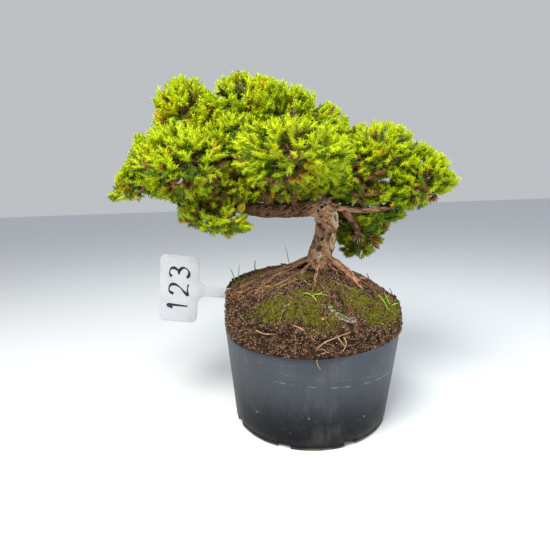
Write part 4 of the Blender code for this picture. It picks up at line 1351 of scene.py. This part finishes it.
@dataclass
class Crown:
    """The foliage: twigs that branch on from the boughs, and the needled shoots at their ends."""

    skeleton: Skeleton
    twigs: int = 14
    branchlets: int = 7
    shoots: int = 2
    side_shoots: int = 2
    twig_reach: float = 0.5
    branchlet_reach: float = 0.72
    lobes: float = 0.12
    lift: float = 0.34
    longest: float = 25.0
    shortest: float = 7.0
    branchlet_spread: float = 0.52
    spray_spread: float = 0.2
    needle_reach: float = 2.4
    side_angle: tuple[float, float] = (30, 46)
    side_share: tuple[float, float] = (0.5, 0.66)
    inner_length: float = 9.0
    inner_room: float = 7.0
    dried_share: float = 0.75
    brown_share: float = 0.12
    same_share: float = 0.7
    stem_girth: float = 1.9
    dried_front: float = 28.0
    outer: ShootStyle = ShootStyle()
    inner: ShootStyle = ShootStyle(0.55, 4.6, 1.5, 58.0, 40.0, 0.75, 2.0)

    def build(self) -> None:
        """Grows every mass and dresses it."""
        self.space, self.silhouette = Space(self.skeleton), Silhouette()
        self.wood = Paths()
        self.paths = {(region, kind): Paths("shape") for region in REGIONS for kind in Kind}
        for index, mass in enumerate(ALL_MASSES):
            self.grow(index, mass)
        needled = shoot_tree()
        for kind in Kind:
            finish = kind.value.build()
            style = self.inner if kind in (Kind.DEEP, Kind.DRY) else self.outer
            for region in REGIONS:
                self.dress(needled, region, kind, style, finish)
        bark = GrainFinish("twig_bark", (0.10, 0.05, 0.025), (0.3, 0.17, 0.09), 700)
        self.wood.tubes("foliage_twigs", bark, "bark")
        self.caught_leaf()

    def dress(self, needled: PathTree, region: str, kind: Kind, style: ShootStyle,
              finish: Material) -> None:
        """Turns one region's paths of one kind into a piece."""
        piece = needled.run(
            self.paths[region, kind].build(f"{kind.name.lower()}_needles_{region}"),
            Spacing=style.spacing * MM, Needle_Length=style.needle_length * MM,
            Needle_Width=style.needle_width * MM, Base_Lean=math.radians(style.base_lean),
            Tip_Lean=math.radians(style.tip_lean), Tip_Length=style.tip_length,
            Core_Radius=style.core_radius * MM, Seed=7, Finish=finish)
        finish_piece(piece, [mass.name for mass in MASSES if mass.region == region])

    def grow(self, index: int, mass: Mass) -> None:
        """Grows one mass: its stem, twigs, branchlets and shoots."""
        rng = random.Random(mass.seed)
        centre, reach = Vector(mass.centre), Vector(mass.reach)
        start, radius, along = point_on(self.skeleton.limbs[mass.bough], mass.leaves_at)
        stem = bowed(start, centre + Vector((0, 0, 0.12 * reach.z)), along * 3, 6)
        self.wood.add(stem, taper(min(radius, self.stem_girth), 0.9, len(stem)))
        for direction in golden_ball(self.twigs, rng.uniform(0, math.tau)):
            end = centre + direction * reach * self.twig_reach
            twig = bowed(stem[rng.randint(2, 6)], end, Vector((0, 0, -2)), 4)
            if not self.silhouette.holds(twig[2]):
                continue
            self.wood.add(twig, taper(0.95, 0.7, 5))
            turn = rng.uniform(0, math.tau)
            for near in golden_cap(direction, self.branchlet_spread, self.branchlets, turn):
                foot = centre + near * reach * self.branchlet_reach
                branchlet = bowed(twig[rng.randint(2, 4)], foot, Vector((0, 0, -1.2)), 3)
                if self.space.holds(index, [foot]) and self.silhouette.holds(foot):
                    if self.tuft(index, mass, near, direction, branchlet, rng):
                        self.wood.add(branchlet, taper(0.65, 0.5, 4))

    def tuft(self, index: int, mass: Mass, near: Vector, lobe: Vector, branchlet: list[Vector],
             rng: random.Random) -> int:
        """Adds the sprays at the end of a branchlet, and a dark shoot further in.

        Args:
            index: the mass's number.
            mass: the mass.
            near: the branchlet's direction from the mass's centre.
            lobe: the twig's direction, in the middle of its lobe.
            branchlet: the branchlet's line.
            rng: the mass's own random numbers.

        Returns:
            How many sprays found room.
        """
        centre, reach = Vector(mass.centre), Vector(mass.reach)
        grown = 0
        for out in golden_cap(near, self.spray_spread, self.shoots, rng.uniform(0, math.tau)):
            apart = out.angle(lobe, 0.0) / 0.6
            rise = Vector((0, 0, self.lift if out.z > -0.3 else self.lift * 0.35))
            depth = (1.0 - self.lobes * apart * apart) * rng.uniform(0.94, 1.05)
            heading = (out + rise * (1 - out.z)).normalized()
            tip = centre + (out * 0.6 + heading * 0.4).normalized() * reach * depth
            root = branchlet[-1].lerp(branchlet[-2], rng.uniform(0.0, 0.9))
            if (tip - root).length > self.longest:
                root = tip.lerp(root, self.longest / (tip - root).length)
            grown += self.spray(index, mass, out, root, tip, rng)
        onward = (branchlet[2] - branchlet[0]).normalized() * self.inner_length
        inner = branchlet[1] + onward + UP * rng.uniform(-3, 5)
        clear = inner + (inner - centre).normalized() * self.inner_room
        if self.space.holds(index, [inner]) and all(map(self.silhouette.holds, (inner, clear))):
            x, z = self.silhouette.seen(inner)
            brown = self.dried_share if in_spot(DRIED, x, z) else self.brown_share
            kind = Kind.DRY if rng.random() < brown else Kind.DEEP
            self.shoot(mass, kind, bowed(branchlet[1], inner, UP * -0.8, 3), 1.0, 0.2, 0.9)
        return grown

    def spray(self, index: int, mass: Mass, out: Vector, root: Vector, tip: Vector,
              rng: random.Random) -> bool:
        """Adds a leading shoot with its side shoots, and tells whether it had room."""
        tip = self.silhouette.trimmed(root, tip, self.needle_reach)
        if tip is None or (tip - root).length < self.shortest:
            return False
        if not self.space.holds(index, [tip, tip.lerp(root, 0.4)]):
            return False
        leader = bowed(root, tip, (out - UP * out.z) * 1.6 - UP * 0.8, 6)
        size = rng.uniform(0.85, 1.15)
        upper, lower = self.deal(mass, out, tip, rng)
        self.shoot(mass, lower, leader[:4], size, 0.0, 0.5)
        self.shoot(mass, upper, leader[3:], size, 0.5, 1.0)
        heading, length = (leader[-1] - leader[2]).normalized(), (tip - root).length
        turn = rng.uniform(0, math.tau)
        for side in range(self.side_shoots):
            foot = leader[1 + side]
            aside = around(heading, math.radians(rng.uniform(*self.side_angle)), turn + side * math.pi)
            end = self.silhouette.trimmed(foot, foot + aside * length * rng.uniform(*self.side_share), 2.2)
            if end is None or not self.space.holds(index, [end]):
                continue
            kind = upper if rng.random() < self.same_share else lower
            self.shoot(mass, kind, bowed(foot, end, heading * 1.4, 3), size * 0.86, 0.35, 1.0)
        return True

    def caught_leaf(self) -> None:
        """Hangs one fallen yellow leaf in the twigs by the left bough, with its stalk against the bark."""
        middle, length, width = Vector((-54.3, -10.5, 186.1)), 5.0, 3.3
        facing = rotation(24, "Y") @ rotation(78, "X")
        rings = []
        for share, rise in ((0.4, -0.5), (1.0, 0.25), (1.0, 0.5), (0.4, -0.2)):
            ring = []
            for turn in np.linspace(0, math.tau, 18, endpoint=False):
                point = 1.0 if turn else 1.12
                ring.append(middle + facing @ Vector((width * math.sin(turn) * share,
                                                      length * math.cos(turn) * share * point, rise)))
            rings.append(ring)
        end = middle + facing @ Vector((0, length, 0.3))
        stalk = smooth_line([end, end + Vector((0.8, 2.5, 0.5)), Vector((-52.5, -3.0, 188.0))], 4)
        leaf = outward(lofted("fallen_leaf", rings, tube_rings(stalk, [0.4] * len(stalk), 6)))
        yellow = GrainFinish("leaf_yellow", (0.52, 0.41, 0.025), (0.84, 0.70, 0.05), 500, 0.5)
        finish_piece(leaf, (), yellow)

    def shoot(self, mass: Mass, kind: Kind, line: list[Vector], size: float, first: float,
              last: float) -> None:
        """Adds one path: its needles are smaller and closer from the first share to the last."""
        shares = np.linspace(first, last, len(line))
        self.paths[mass.region, kind].add(line, [(size, share, 0.0) for share in shares])

    def deal(self, mass: Mass, out: Vector, tip: Vector, rng: random.Random) -> tuple[Kind, Kind]:
        """Returns the kinds of a shoot's upper and lower half."""
        # Shoots that face down, and masses with gloom, get darker kinds: painted shade, partly the real
        # deeper colour of shaded growth.
        light = out.z + rng.uniform(-0.45, 0.45) - mass.gloom
        chances = next(chances for least, chances in BY_LIGHT if light > least)
        upper = picked(chances, rng.random())
        x, z = self.silhouette.seen(tip)
        draw = rng.random()
        if in_spot(GOLDEN, x, z) and draw < 0.75:
            lower = Kind.GOLD
        elif tip.y < self.dried_front and in_spot(DRIED, x, z) and draw < 0.6:
            lower = Kind.DRY
            upper = Kind.DRY if rng.random() < 0.3 else upper
        else:
            lower = picked(AT_FOOT, draw)
        return upper, lower


# ---------------- root ball

# Pale roots on the ball's free side, and one that hangs over the pot's rim.
SIDE_ROOTS = (
    ((-0.4, -76, 89), (5.3, -76, 93.5), (11.7, -75.5, 96), (24, -73, 97)),
    ((18, -75, 96), (20, -75, 91), (17.5, -75, 85.5)), ((14, -75.5, 96), (19.5, -75, 88)),
    ((-16, -68, 101), (-10, -75, 99.5), (-1.7, -76.3, 94.5)),
    ((-40, -58, 98), (-34, -63, 97), (-28, -67, 98)),
    ((6, -76, 86), (0.5, -76, 83.5), (-0.6, -76, 78), (1.5, -76, 73)),
)

# Where moss grows on the ball: place, reach and how thickly.
MOSS_PATCHES = (
    ((-20, -53), (40, 15), 1), ((4, -62), (24, 10), 1), ((42, -47), (26, 15), 1),
    ((62, -32), (15, 14), 0.8), ((-2, -23), (17, 10), 0.55), ((-46, 6), (30, 18), 0.5),
    ((72, -13), (8, 8), 1), ((20, 56), (34, 15), 0.9), ((-48, 40), (22, 18), 0.7),
    ((58, 34), (16, 20), 0.7), ((14, -38), (22, 9), 0.5), ((-30, -30), (20, 9), 0.4),
)

# What is strewn over the ball: name, dark and light tone, grain, number on a square metre, least and greatest
# size, least and greatest moss that it lies on, seed, and whether it is a spike.
STREWN = (
    ("dark_crumbs", (0.010, 0.006, 0.004), (0.06, 0.03, 0.017), 900, 110000, (0.8, 2.7), (-1, 0.5), 3, False),
    ("rusty_crumbs", (0.07, 0.028, 0.014), (0.27, 0.13, 0.065), 900, 52000, (0.6, 2.1), (-1, 0.6), 4, False),
    ("pale_crumbs", (0.26, 0.17, 0.10), (0.58, 0.44, 0.30), 900, 15000, (0.5, 1.3), (-1, 0.7), 9, False),
    ("dry_bits", (0.12, 0.07, 0.04), (0.50, 0.37, 0.23), 900, 210000, (0.8, 2.2), (-1, 9), 12, True),
    ("olive_moss", (0.05, 0.05, 0.006), (0.19, 0.175, 0.015), 700, 2400000, (0.9, 2.2), (0.3, 9), 5, True),
    ("yellow_moss", (0.20, 0.19, 0.010), (0.40, 0.38, 0.02), 700, 700000, (0.9, 2.2), (0.5, 9), 6, True),
    ("bright_moss", (0.10, 0.19, 0.008), (0.24, 0.42, 0.02), 700, 500000, (0.9, 2.2), (0.72, 9), 7, True),
)

# Grass blades and dry stalks: x, y, how far the tip goes along x and y, its rise, and how far a blade bows.
GRASS = ((-66, 20, -4, 0, 12, 2), (-63, 22, 2, 2, 14, 2), (-0.7, -49, -7, 1, 1, 2), (-0.7, -49, 12, -3, 2, 3),
         (-0.7, -49, 3, -6, 0, 2), (55, -27, 7, -11, 2, 3), (66, -27, 10, 4, 5, 2), (66, -27, -4, 4, 3, 2),
         (-14, 30, -4, 4, 20, 2), (36, 44, 6, 6, 9, 2))
STALKS = ((-46, 22, -1, 1, 13), (74, 10, 4, -2, 9), (60, 30, 3, 4, 8))
# A dead strand's places, and flakes of bark and lichen: x, y, length and width.
STRAND = ((11.4, -57.5), (14.1, -60.2), (16.4, -62), (20.2, -63.4), (25.8, -62.4), (30.5, -61.5))
CHIPS = ((45.5, -17.3, 3.4, 2.2), (-34.4, -30.4, 3.4, 1.6), (5.4, -66, 1.7, 1.4), (30, 40, 3, 2),
         (-20, 44, 3.2, 1.8), (-58, -22, 2, 1.2))
LICHEN = ((11, -57, 1.6, 0.7), (13, -58.5, 1.9, 0.9), (15.2, -60.2, 2.2, 1.1), (17.6, -61.4, 1.8, 1.3),
          (20, -62.3, 2.2, 1.2), (22.6, -62.4, 2.6, 1), (25.6, -62, 2, 1.1), (28.4, -61.2, 2.2, 0.8),
          (19, -59.6, 1.3, 0.8), (-24.2, -43.5, 1.9, 1.2), (-26.4, -44.6, 1.6, 1), (-28.4, -46, 1.5, 0.9),
          (-21.7, -55.4, 1.6, 1), (-20.3, -54.6, 1.1, 0.7), (52, -40, 1.3, 0.8), (10, 50, 2.2, 1.3))


def patch(x: float, y: float, centre: tuple[float, float], size: tuple[float, float]) -> float:
    """Returns 1 in the middle of an oval patch, falling to 0 at its edge."""
    away = math.hypot((x - centre[0]) / size[0], (y - centre[1]) / size[1])
    return max(0.0, 1.0 - away)


@dataclass
class RootBall:
    """The peaty mound: its skin, crumbs, moss, roots and fibres."""

    pot: Pot
    mound: Mound
    around: int = 420
    seed: int = 5
    top_roots: int = 620
    side_roots: int = 120
    root_length: tuple[float, float] = (8, 34)
    root_thick: tuple[float, float] = (0.18, 0.44)
    stride: float = 1.6
    wander: float = 0.085

    def build(self) -> None:
        """Builds the skin and everything that lies on it."""
        rng = random.Random(self.seed)
        skin = self.skin()
        for name, dark, light, grain, *rest in STREWN:
            self.strew(skin, name, GrainFinish(name, dark, light, grain), *rest)
        self.roots(rng)
        self.litter(rng)
        finish_piece(skin, ["root_ball"], PeatFinish())

    def skin(self) -> Object:
        """Returns the dense, lumpy skin of the mound."""
        inset = self.pot.wall + 0.5
        turns = [math.tau * k / self.around for k in range(self.around)]
        rows = [self.pot.ring(lambda a, d=drop: self.pot.rim_height(a) + d, width, self.around)
                for drop, width in ((-14.0, inset), (-5.0, inset), (0.4, inset - 0.2))]
        rows += [[self.mound.side(share, a) for a in turns] for share in np.linspace(0.0, 1.0, 22)]
        rows += [[self.mound.top(share, a) for a in turns]
                 for share in (*np.linspace(0.985, 0.0, 56), -0.25, -0.5, -0.75, -0.97)]
        skin = outward(lofted("peat_root_ball", rows))
        self.roughen(skin)
        return skin

    def roughen(self, skin: Object) -> None:
        """Presses lumps and pits into the skin, marks where moss grows and stores the relief that paints
        shade into the pits.
        """
        points, normals = skin_of(skin)
        moss, relief = np.zeros(len(points)), np.zeros(len(points))
        for i, (point, normal) in enumerate(zip(points, normals)):
            place = Vector(point)
            rim = self.pot.rim_height(math.atan2(point[1], point[0]))
            free = held((point[2] - rim) / 3.0)
            wide = noise.fractal(place * 0.09, 1.0, 2.0, 3)
            lump, fine, grit = (noise.noise(place * step) for step in (0.33, 0.9, 2.0))
            lying = Vector((point[0], point[1], point[2] * 3.2))
            strands = 1 - abs(noise.noise(lying * 0.3)) * 3
            cover = max(patch(point[0], point[1], middle, size) * thick
                        for middle, size, thick in MOSS_PATCHES)
            cover = min(1.0, cover * 2.0) * (0.35 + 0.65 * held(normal[2] + 0.35))
            soft = 1 - 0.5 * cover
            depth = 1.1 * wide + 1.0 * lump + soft * (0.75 * fine + 0.5 * grit) + 0.35 * strands + 0.5 * cover
            points[i] += normal * (free * depth)
            moss[i] = cover * (0.62 + 1.1 * noise.noise(place * 0.42) + 0.5 * noise.noise(place * 0.16))
            # Low relief marks the pits, which get painted shade.
            relief[i] = held(0.5 + 0.35 * (lump + fine + 0.6 * grit))
        move_points(skin, points)
        for name, values in (("moss", moss), ("relief", relief)):
            set_attribute(skin, name, values)

    def strew(self, skin: Object, name: str, finish: GrainFinish, density: float, size: tuple[float, float],
              where: tuple[float, float], seed: int, spike: bool) -> None:
        """Scatters grains or spikes over the skin, as one piece.

        Args:
            skin: the root ball's skin.
            name: the new piece's name.
            finish: what it wears.
            density: number on a square metre.
            size: least and greatest size, in millimetres.
            where: least and greatest moss that they lie on.
            seed: for the random places.
            spike: True for leaves and bits, False for crumbs.
        """
        made = PathTree("Scattered_" + name, ("Density", "Least Size", "Greatest Size", "From", "To"), "Seed")
        given, times = made.given, made.times
        moss = made.stored("moss")
        height = made.out("ShaderNodeSeparateXYZ", {0: made.out("GeometryNodeInputPosition")}, 2)
        proud = made.maths("GREATER_THAN", height, (self.pot.rim - 2.0) * MM)
        chosen = times(made.maths("GREATER_THAN", moss, given["From"]),
                       made.maths("LESS_THAN", moss, given["To"]))
        spread = made.node("GeometryNodeDistributePointsOnFaces", {
            "Mesh": given["Geometry"], "Density": times(given["Density"], times(chosen, proud)),
            "Seed": given["Seed"]}).outputs
        if spike:
            shape, tilt = made.spike(0.26, 1.0), (0.75, 0.75, 3.1)
        else:
            shape = made.out("GeometryNodeMeshIcoSphere", {"Radius": 0.5, "Subdivisions": 1})
            tilt = (3.1, 3.1, 3.1)
        scale = made.out("ShaderNodeVectorMath", {
            0: made.draw((0.6, 0.6, 0.5), (1.3, 1.0, 1.0), 8),
            "Scale": made.draw(given["Least Size"], given["Greatest Size"], 3)}, operation="SCALE")
        tilts = made.draw(tuple(-angle for angle in tilt), tilt)
        made.close(made.strewn(spread["Points"], shape, spread["Rotation"], tilts, scale))
        copy = linked(bpy.data.objects.new(name, skin.data.copy()))
        finish_piece(made.run(copy, Density=density, Least_Size=size[0] * MM, Greatest_Size=size[1] * MM,
                              From=where[0], To=where[1], Seed=seed, Finish=finish.build()))

    def roots(self, rng: random.Random) -> None:
        """Lays fine roots over the mound and its side."""
        fine, pale = Paths(), Paths()
        for _ in range(self.top_roots):
            angle = rng.gauss(math.pi, 1.0) if rng.random() < 0.55 else rng.uniform(0, math.tau)
            heading = angle + rng.gauss(0, 0.6)
            self.lay_root(rng, fine if rng.random() < 0.95 else pale, rng.uniform(0.0, 0.95), angle, heading,
                          rng.uniform(*self.root_length), rng.uniform(*self.root_thick))
        for _ in range(self.side_roots):
            self.side_root(rng, fine if rng.random() < 0.88 else pale, rng.uniform(0, math.tau),
                           rng.uniform(4, 12), rng.uniform(0.15, 0.35))
        for line in SIDE_ROOTS:
            path = smooth_line([self.on_skin(*place) for place in line], 5)
            pale.add(path, taper(0.46, 0.26, len(path)))
        fine.tubes("brown_roots", GrainFinish("root_brown", (0.075, 0.036, 0.021), (0.27, 0.15, 0.095)))
        pale.tubes("tan_roots", GrainFinish("root_tan", (0.27, 0.155, 0.075), (0.55, 0.37, 0.20), 600))

    def on_skin(self, x: float, y: float, z: float) -> Vector:
        """Returns a place just outside the ball's skin or the pot's wall."""
        out = Vector((x - self.pot.lean * z, y, 0)).normalized()
        height = self.mound.height(x, y)
        if z > height - 1.0:
            return Vector((x, y, height + 1.6))
        return Vector((self.pot.lean * z, 0, z)) + out * (self.mound.bulge + 2.6)

    def lay_root(self, rng: random.Random, paths: Paths, reach: float, angle: float, heading: float,
                 length: float, thick: float) -> None:
        """Lays one root on the mound's top, wandering from a place along a heading."""
        place = self.mound.top(reach, angle)
        line = []
        turn = rng.uniform(-0.045, 0.045)
        for _ in range(max(4, int(length / self.stride))):
            height = self.mound.height(place.x, place.y)
            away = math.hypot(place.x - self.pot.lean * 100, place.y)
            if away > self.mound.shoulder_radius:
                break
            wave = 0.8 * noise.noise(Vector((place.x, place.y, 7)) * 0.3)
            line.append(Vector((place.x, place.y, height + thick * 0.7 + 0.9 + wave)))
            heading += turn + rng.gauss(0, self.wander)
            place = place + self.stride * level(heading)
        if len(line) >= 4:
            paths.add(line, taper(thick, thick * 0.45, len(line)))

    def side_root(self, rng: random.Random, paths: Paths, angle: float, length: float, thick: float) -> None:
        """Lays one root on the free side, running mostly round it."""
        share = rng.uniform(0.1, 1.0)
        climb = rng.gauss(0, 0.035)
        step = self.stride / self.mound.bulge * rng.choice((-1, 1))
        line = []
        for _ in range(max(4, int(length / self.stride))):
            spot = self.mound.side(max(0.03, min(1.0, share)), angle)
            out = Vector((spot.x, spot.y, 0)).normalized()
            line.append(spot + out * (0.9 + thick + 0.8 * noise.noise(spot * 0.3)))
            angle += step * rng.uniform(0.5, 1.1)
            share += climb + rng.gauss(0, 0.04)
        paths.add(line, taper(thick, thick * 0.45, len(line)))

    def over(self, x: float, y: float, rise: float) -> Vector:
        """Returns a place at a rise over the mound."""
        return Vector((x, y, self.mound.height(x, y) + rise))

    def litter(self, rng: random.Random) -> None:
        """Strews grass blades, dry stalks, a dead strand, bark chips and lichen flakes."""
        grass, straw, strand = Paths(), Paths(), Paths()
        for x, y, dx, dy, rise, lean in GRASS:
            line = bowed(self.over(x, y, 0.8), self.over(x + dx, y + dy, 1.4 + rise), Vector((0, 0, lean)), 6)
            grass.add(line, (0.34, 0.42, 0.46, 0.42, 0.34, 0.22, 0.08))
        for x, y, dx, dy, rise in STALKS:
            start = self.over(x, y, -1)
            straw.add([start, start + Vector((dx, dy, rise * 0.5)), start + Vector((dx * 0.4, dy, rise))],
                      (0.6, 0.5, 0.35))
        for shift in (-1.3, -0.5, 0.2, 0.9):
            places = [(x + rng.gauss(0, 0.6), y + shift + rng.gauss(0, 0.6)) for x, y in STRAND]
            line = smooth_line([self.over(x, y, 1.5) for x, y in places], 5)
            strand.add(line, [0.3 + 0.14 * math.sin(1.7 * k + 3 * shift) for k in range(len(line))])
        strand.tubes("dead_strands", GrainFinish("dead_strand", (0.20, 0.17, 0.12), (0.46, 0.42, 0.32), 900))
        blade = GrainFinish("grass_green", (0.16, 0.34, 0.03), (0.36, 0.62, 0.08), 300, 0.5, 0.1)
        grass.tubes("grass_blades", blade, sides=4)
        straw.tubes("dry_stalks", GrainFinish("dry_stalk", (0.07, 0.035, 0.02), (0.2, 0.12, 0.07)))
        self.chips(rng, "bark_chips", GrainFinish("chip", (0.30, 0.12, 0.04), (0.62, 0.30, 0.12), 400), CHIPS)
        lichen = GrainFinish("lichen", (0.10, 0.095, 0.06), (0.27, 0.265, 0.19), 900)
        self.chips(rng, "lichen_flakes", lichen, LICHEN)

    def chips(self, rng: random.Random, name: str, finish: GrainFinish, spots: Sequence[tuple]) -> None:
        """Lays thin ragged flakes on the mound, each with a place, a length and a width."""
        bodies = []
        for x, y, length, width in spots:
            turn = Matrix.Rotation(rng.uniform(0, math.tau), 3, "Z")
            tilt = Matrix.Rotation(rng.uniform(-0.5, 0.5), 3, "X")
            centre = self.over(x, y, 2.1)
            edge = [Vector((length * math.cos(a), width * math.sin(a), 0)) * rng.uniform(0.6, 1.15)
                    for a in (math.tau * k / 11 for k in range(11))]
            bodies.append([[centre + turn @ tilt @ (spot + UP * rise) for spot in edge]
                           for rise in (-0.25, 0.25)])
        flakes = outward(lofted(name, *bodies))
        flakes.data.materials.append(finish.build())
        finish_piece(flakes)


# ---------------- label

# The strokes of each digit, across and up.
STROKES = {
    "1": (((0.28, 0.78), (0.52, 1.0), (0.5, 0.0)),),
    "2": (((0.1, 0.76), (0.25, 0.95), (0.52, 1.0), (0.8, 0.9), (0.84, 0.68), (0.62, 0.42), (0.3, 0.2),
           (0.08, 0.02), (0.5, 0.05), (0.92, 0.02)),),
    "3": (((0.12, 0.9), (0.38, 1.0), (0.72, 0.95), (0.8, 0.76), (0.62, 0.58), (0.36, 0.54), (0.7, 0.48),
           (0.88, 0.28), (0.7, 0.06), (0.38, 0.0), (0.1, 0.1)),),
}


@dataclass
class PlantLabel:
    """The white T-shaped label, with its moulded border line and plain digits."""

    plate: tuple[float, float] = (34.0, 60.0)
    corner: float = 5.0
    fillet: float = 8.0
    neck: float = 9.0
    stem: float = 46.0
    point: float = 7.0
    thick: float = 1.2
    centre: tuple[float, float, float] = (-113.5, -2.0, 117.5)
    tilt: float = 7.5
    digits: str = "123"
    digit_size: tuple[float, float] = (17.0, 11.5)
    gap: float = 3.6
    ink_relief: float = 0.08

    def arc(self, centre: tuple[float, float], radius: float, start: float, end: float) -> list[tuple]:
        """Returns points on an arc in the label's own plane, angles in degrees."""
        turns = np.radians(np.linspace(start, end, 13))
        return [(centre[0] + radius * math.cos(a), centre[1] + radius * math.sin(a)) for a in turns]

    def outline(self, inset: float = 0.0) -> list[tuple[float, float]]:
        """Returns the outline, drawn in by inset."""
        half_x, half_z = self.plate[0] / 2 - inset, self.plate[1] / 2 - inset
        neck, c = self.neck / 2 - inset, self.corner - inset
        f = self.fillet + inset
        tip = half_x + self.stem
        upper = self.arc((-half_x + c, half_z - c), c, 180, 90)
        upper += self.arc((half_x - c, half_z - c), c, 90, 0)
        upper += self.arc((half_x + f, neck + f), f, 180, 270)
        upper += [(tip - self.point, neck), (tip, max(0.2, neck * 0.3))]
        return upper + [(x, -z) for x, z in reversed(upper)]

    def placed(self, x: float, y: float, z: float) -> Vector:
        """Returns a point of the label's own space in its place."""
        return rotation(self.tilt, "Y") @ Vector((x, y, z)) + Vector(self.centre)

    def build(self) -> None:
        """Builds the plate, its border line and the digits."""
        half = self.thick / 2
        edges = ((-half, 0.25), (-half + 0.07, 0.08), (-half + 0.25, 0.0), (half - 0.25, 0.0),
                 (half - 0.07, 0.08), (half, 0.25))
        rings = [[self.placed(x, side, z) for x, z in self.outline(inset)] for side, inset in edges]
        plate = outward(lofted("white_label", rings))
        finish_piece(plate, ["plant_label"], LabelPlastic(), 50)
        border = Paths()
        line = [self.placed(x, -half - 0.02, z) for x, z in self.outline(1.7)]
        border.add([*line, line[0]], [0.16] * (len(line) + 1))
        white = LabelPlastic("label_border_white", (0.52, 0.535, 0.57), (0.44, 0.45, 0.47))
        border.tubes("label_border", white, "label_plastic", 6)
        self.write(-half - 0.03)

    def write(self, face: float) -> None:
        """Writes the plain digits up the plate as strokes of ink, on the face at that place."""
        ink = Paths()
        height, width = self.digit_size
        whole = len(self.digits) * width + (len(self.digits) - 1) * self.gap
        for i, digit in enumerate(self.digits):
            base = -whole / 2 + i * (width + self.gap)
            for stroke in STROKES[digit]:
                corners = [Vector((-(v - 0.5) * height, 0, base + u * width)) for u, v in stroke]
                line = [self.placed(p.x, face, p.z) for p in smooth_line(corners, 6)]
                ink.add(line, [0.95 + 0.42 * math.sin(0.33 * k + i) for k in range(len(line))])
        black = GrainFinish("label_ink", (0.010, 0.009, 0.018), (0.035, 0.032, 0.06), 900, 0.5, 0.1)
        written = ink.tubes("label_digits", black, "", 8)
        points = skin_of(written)[0]
        across = rotation(self.tilt, "Y") @ Vector((0, 1, 0))
        face_y = self.centre[1] + face
        points[:, 1] = face_y + (points[:, 1] - face_y) * self.ink_relief * across.y
        move_points(written, points)
        finish_piece(written)


# ---------------- studio

@dataclass
class Studio:
    """A pale floor, soft lights and the camera."""

    lens: float = 25.17
    pitch: float = 11.64
    roll: float = 2.03
    reach: float = 6000.0
    floor_colour: Colour = (0.72, 0.76, 0.80)
    # Each lamp: its name, place, size in metres, power and colour.
    lamps: tuple = (("key", (-250, -420, 820), 0.45, 12.0, (1.0, 0.96, 0.88)),
                    ("fill", (600, -350, 400), 0.7, 3.5, (0.95, 0.97, 1.0)))

    def build(self) -> None:
        """Sets up the floor, the lights and the camera."""
        self.floor()
        self.lights()
        self.camera()

    def floor(self) -> None:
        """Lays a wide pale floor."""
        corners = [(self.reach * x, self.reach * y, 0) for x, y in ((-1, -1), (1, -1), (1, 1), (-1, 1))]
        floor = new_object("studio_floor", corners, [(0, 1, 2, 3)])
        s = Shader("pale_floor")
        body = s.layers(self.floor_colour, (s.times(s.noise(3.0), 0.1), (0.6, 0.64, 0.68)))
        floor.data.materials.append(s.close(body, 0.7))

    def lights(self) -> None:
        """Hangs the lamps under a pale sky."""
        world = bpy.data.worlds.new("pale_sky")
        bpy.context.scene.world = world
        world.use_nodes = True
        sky = world.node_tree.nodes["Background"].inputs
        sky["Color"].default_value, sky["Strength"].default_value = (0.93, 0.96, 1.0, 1), 0.55
        for name, place, size, power, colour in self.lamps:
            lamp = bpy.data.lights.new(name, "AREA")
            lamp.size, lamp.energy, lamp.color = size, power, colour
            light = linked(bpy.data.objects.new(name, lamp))
            light.location = Vector(place) * MM
            towards = Vector((0, 0, 160)) * MM - light.location
            light.rotation_euler = towards.to_track_quat("-Z", "Y").to_euler()

    def camera(self) -> None:
        """Places the camera."""
        pitch, roll = math.radians(self.pitch), math.radians(self.roll)
        ahead = Vector((0, math.cos(pitch), -math.sin(pitch)))
        right = Vector((1, 0, 0))
        down = ahead.cross(right)
        across = math.cos(roll) * right + math.sin(roll) * down
        under = -math.sin(roll) * right + math.cos(roll) * down
        lens = bpy.data.cameras.new("view")
        lens.lens, lens.sensor_width, lens.sensor_fit = self.lens, 36.0, "AUTO"
        lens.clip_start, lens.clip_end = 0.01, 50.0
        camera = linked(bpy.data.objects.new("view", lens))
        matrix = Matrix((across, -under, -ahead)).transposed().to_4x4()
        matrix.translation = EYE * MM
        camera.matrix_world = matrix
        bpy.context.scene.camera = camera
        bpy.context.scene.view_settings.view_transform = "Standard"


def main() -> None:
    """Builds every piece in order."""
    logging.basicConfig(level=logging.INFO, format="%(message)s")
    Studio().build()
    pot = Pot()
    mound = Mound(pot)
    pot.build()
    RootBall(pot, mound).build()
    PlantLabel().build()
    skeleton = Skeleton(mound)
    skeleton.grow()
    Bark(skeleton).build()
    Crown(skeleton).build()


if __name__ == "__main__":
    main()
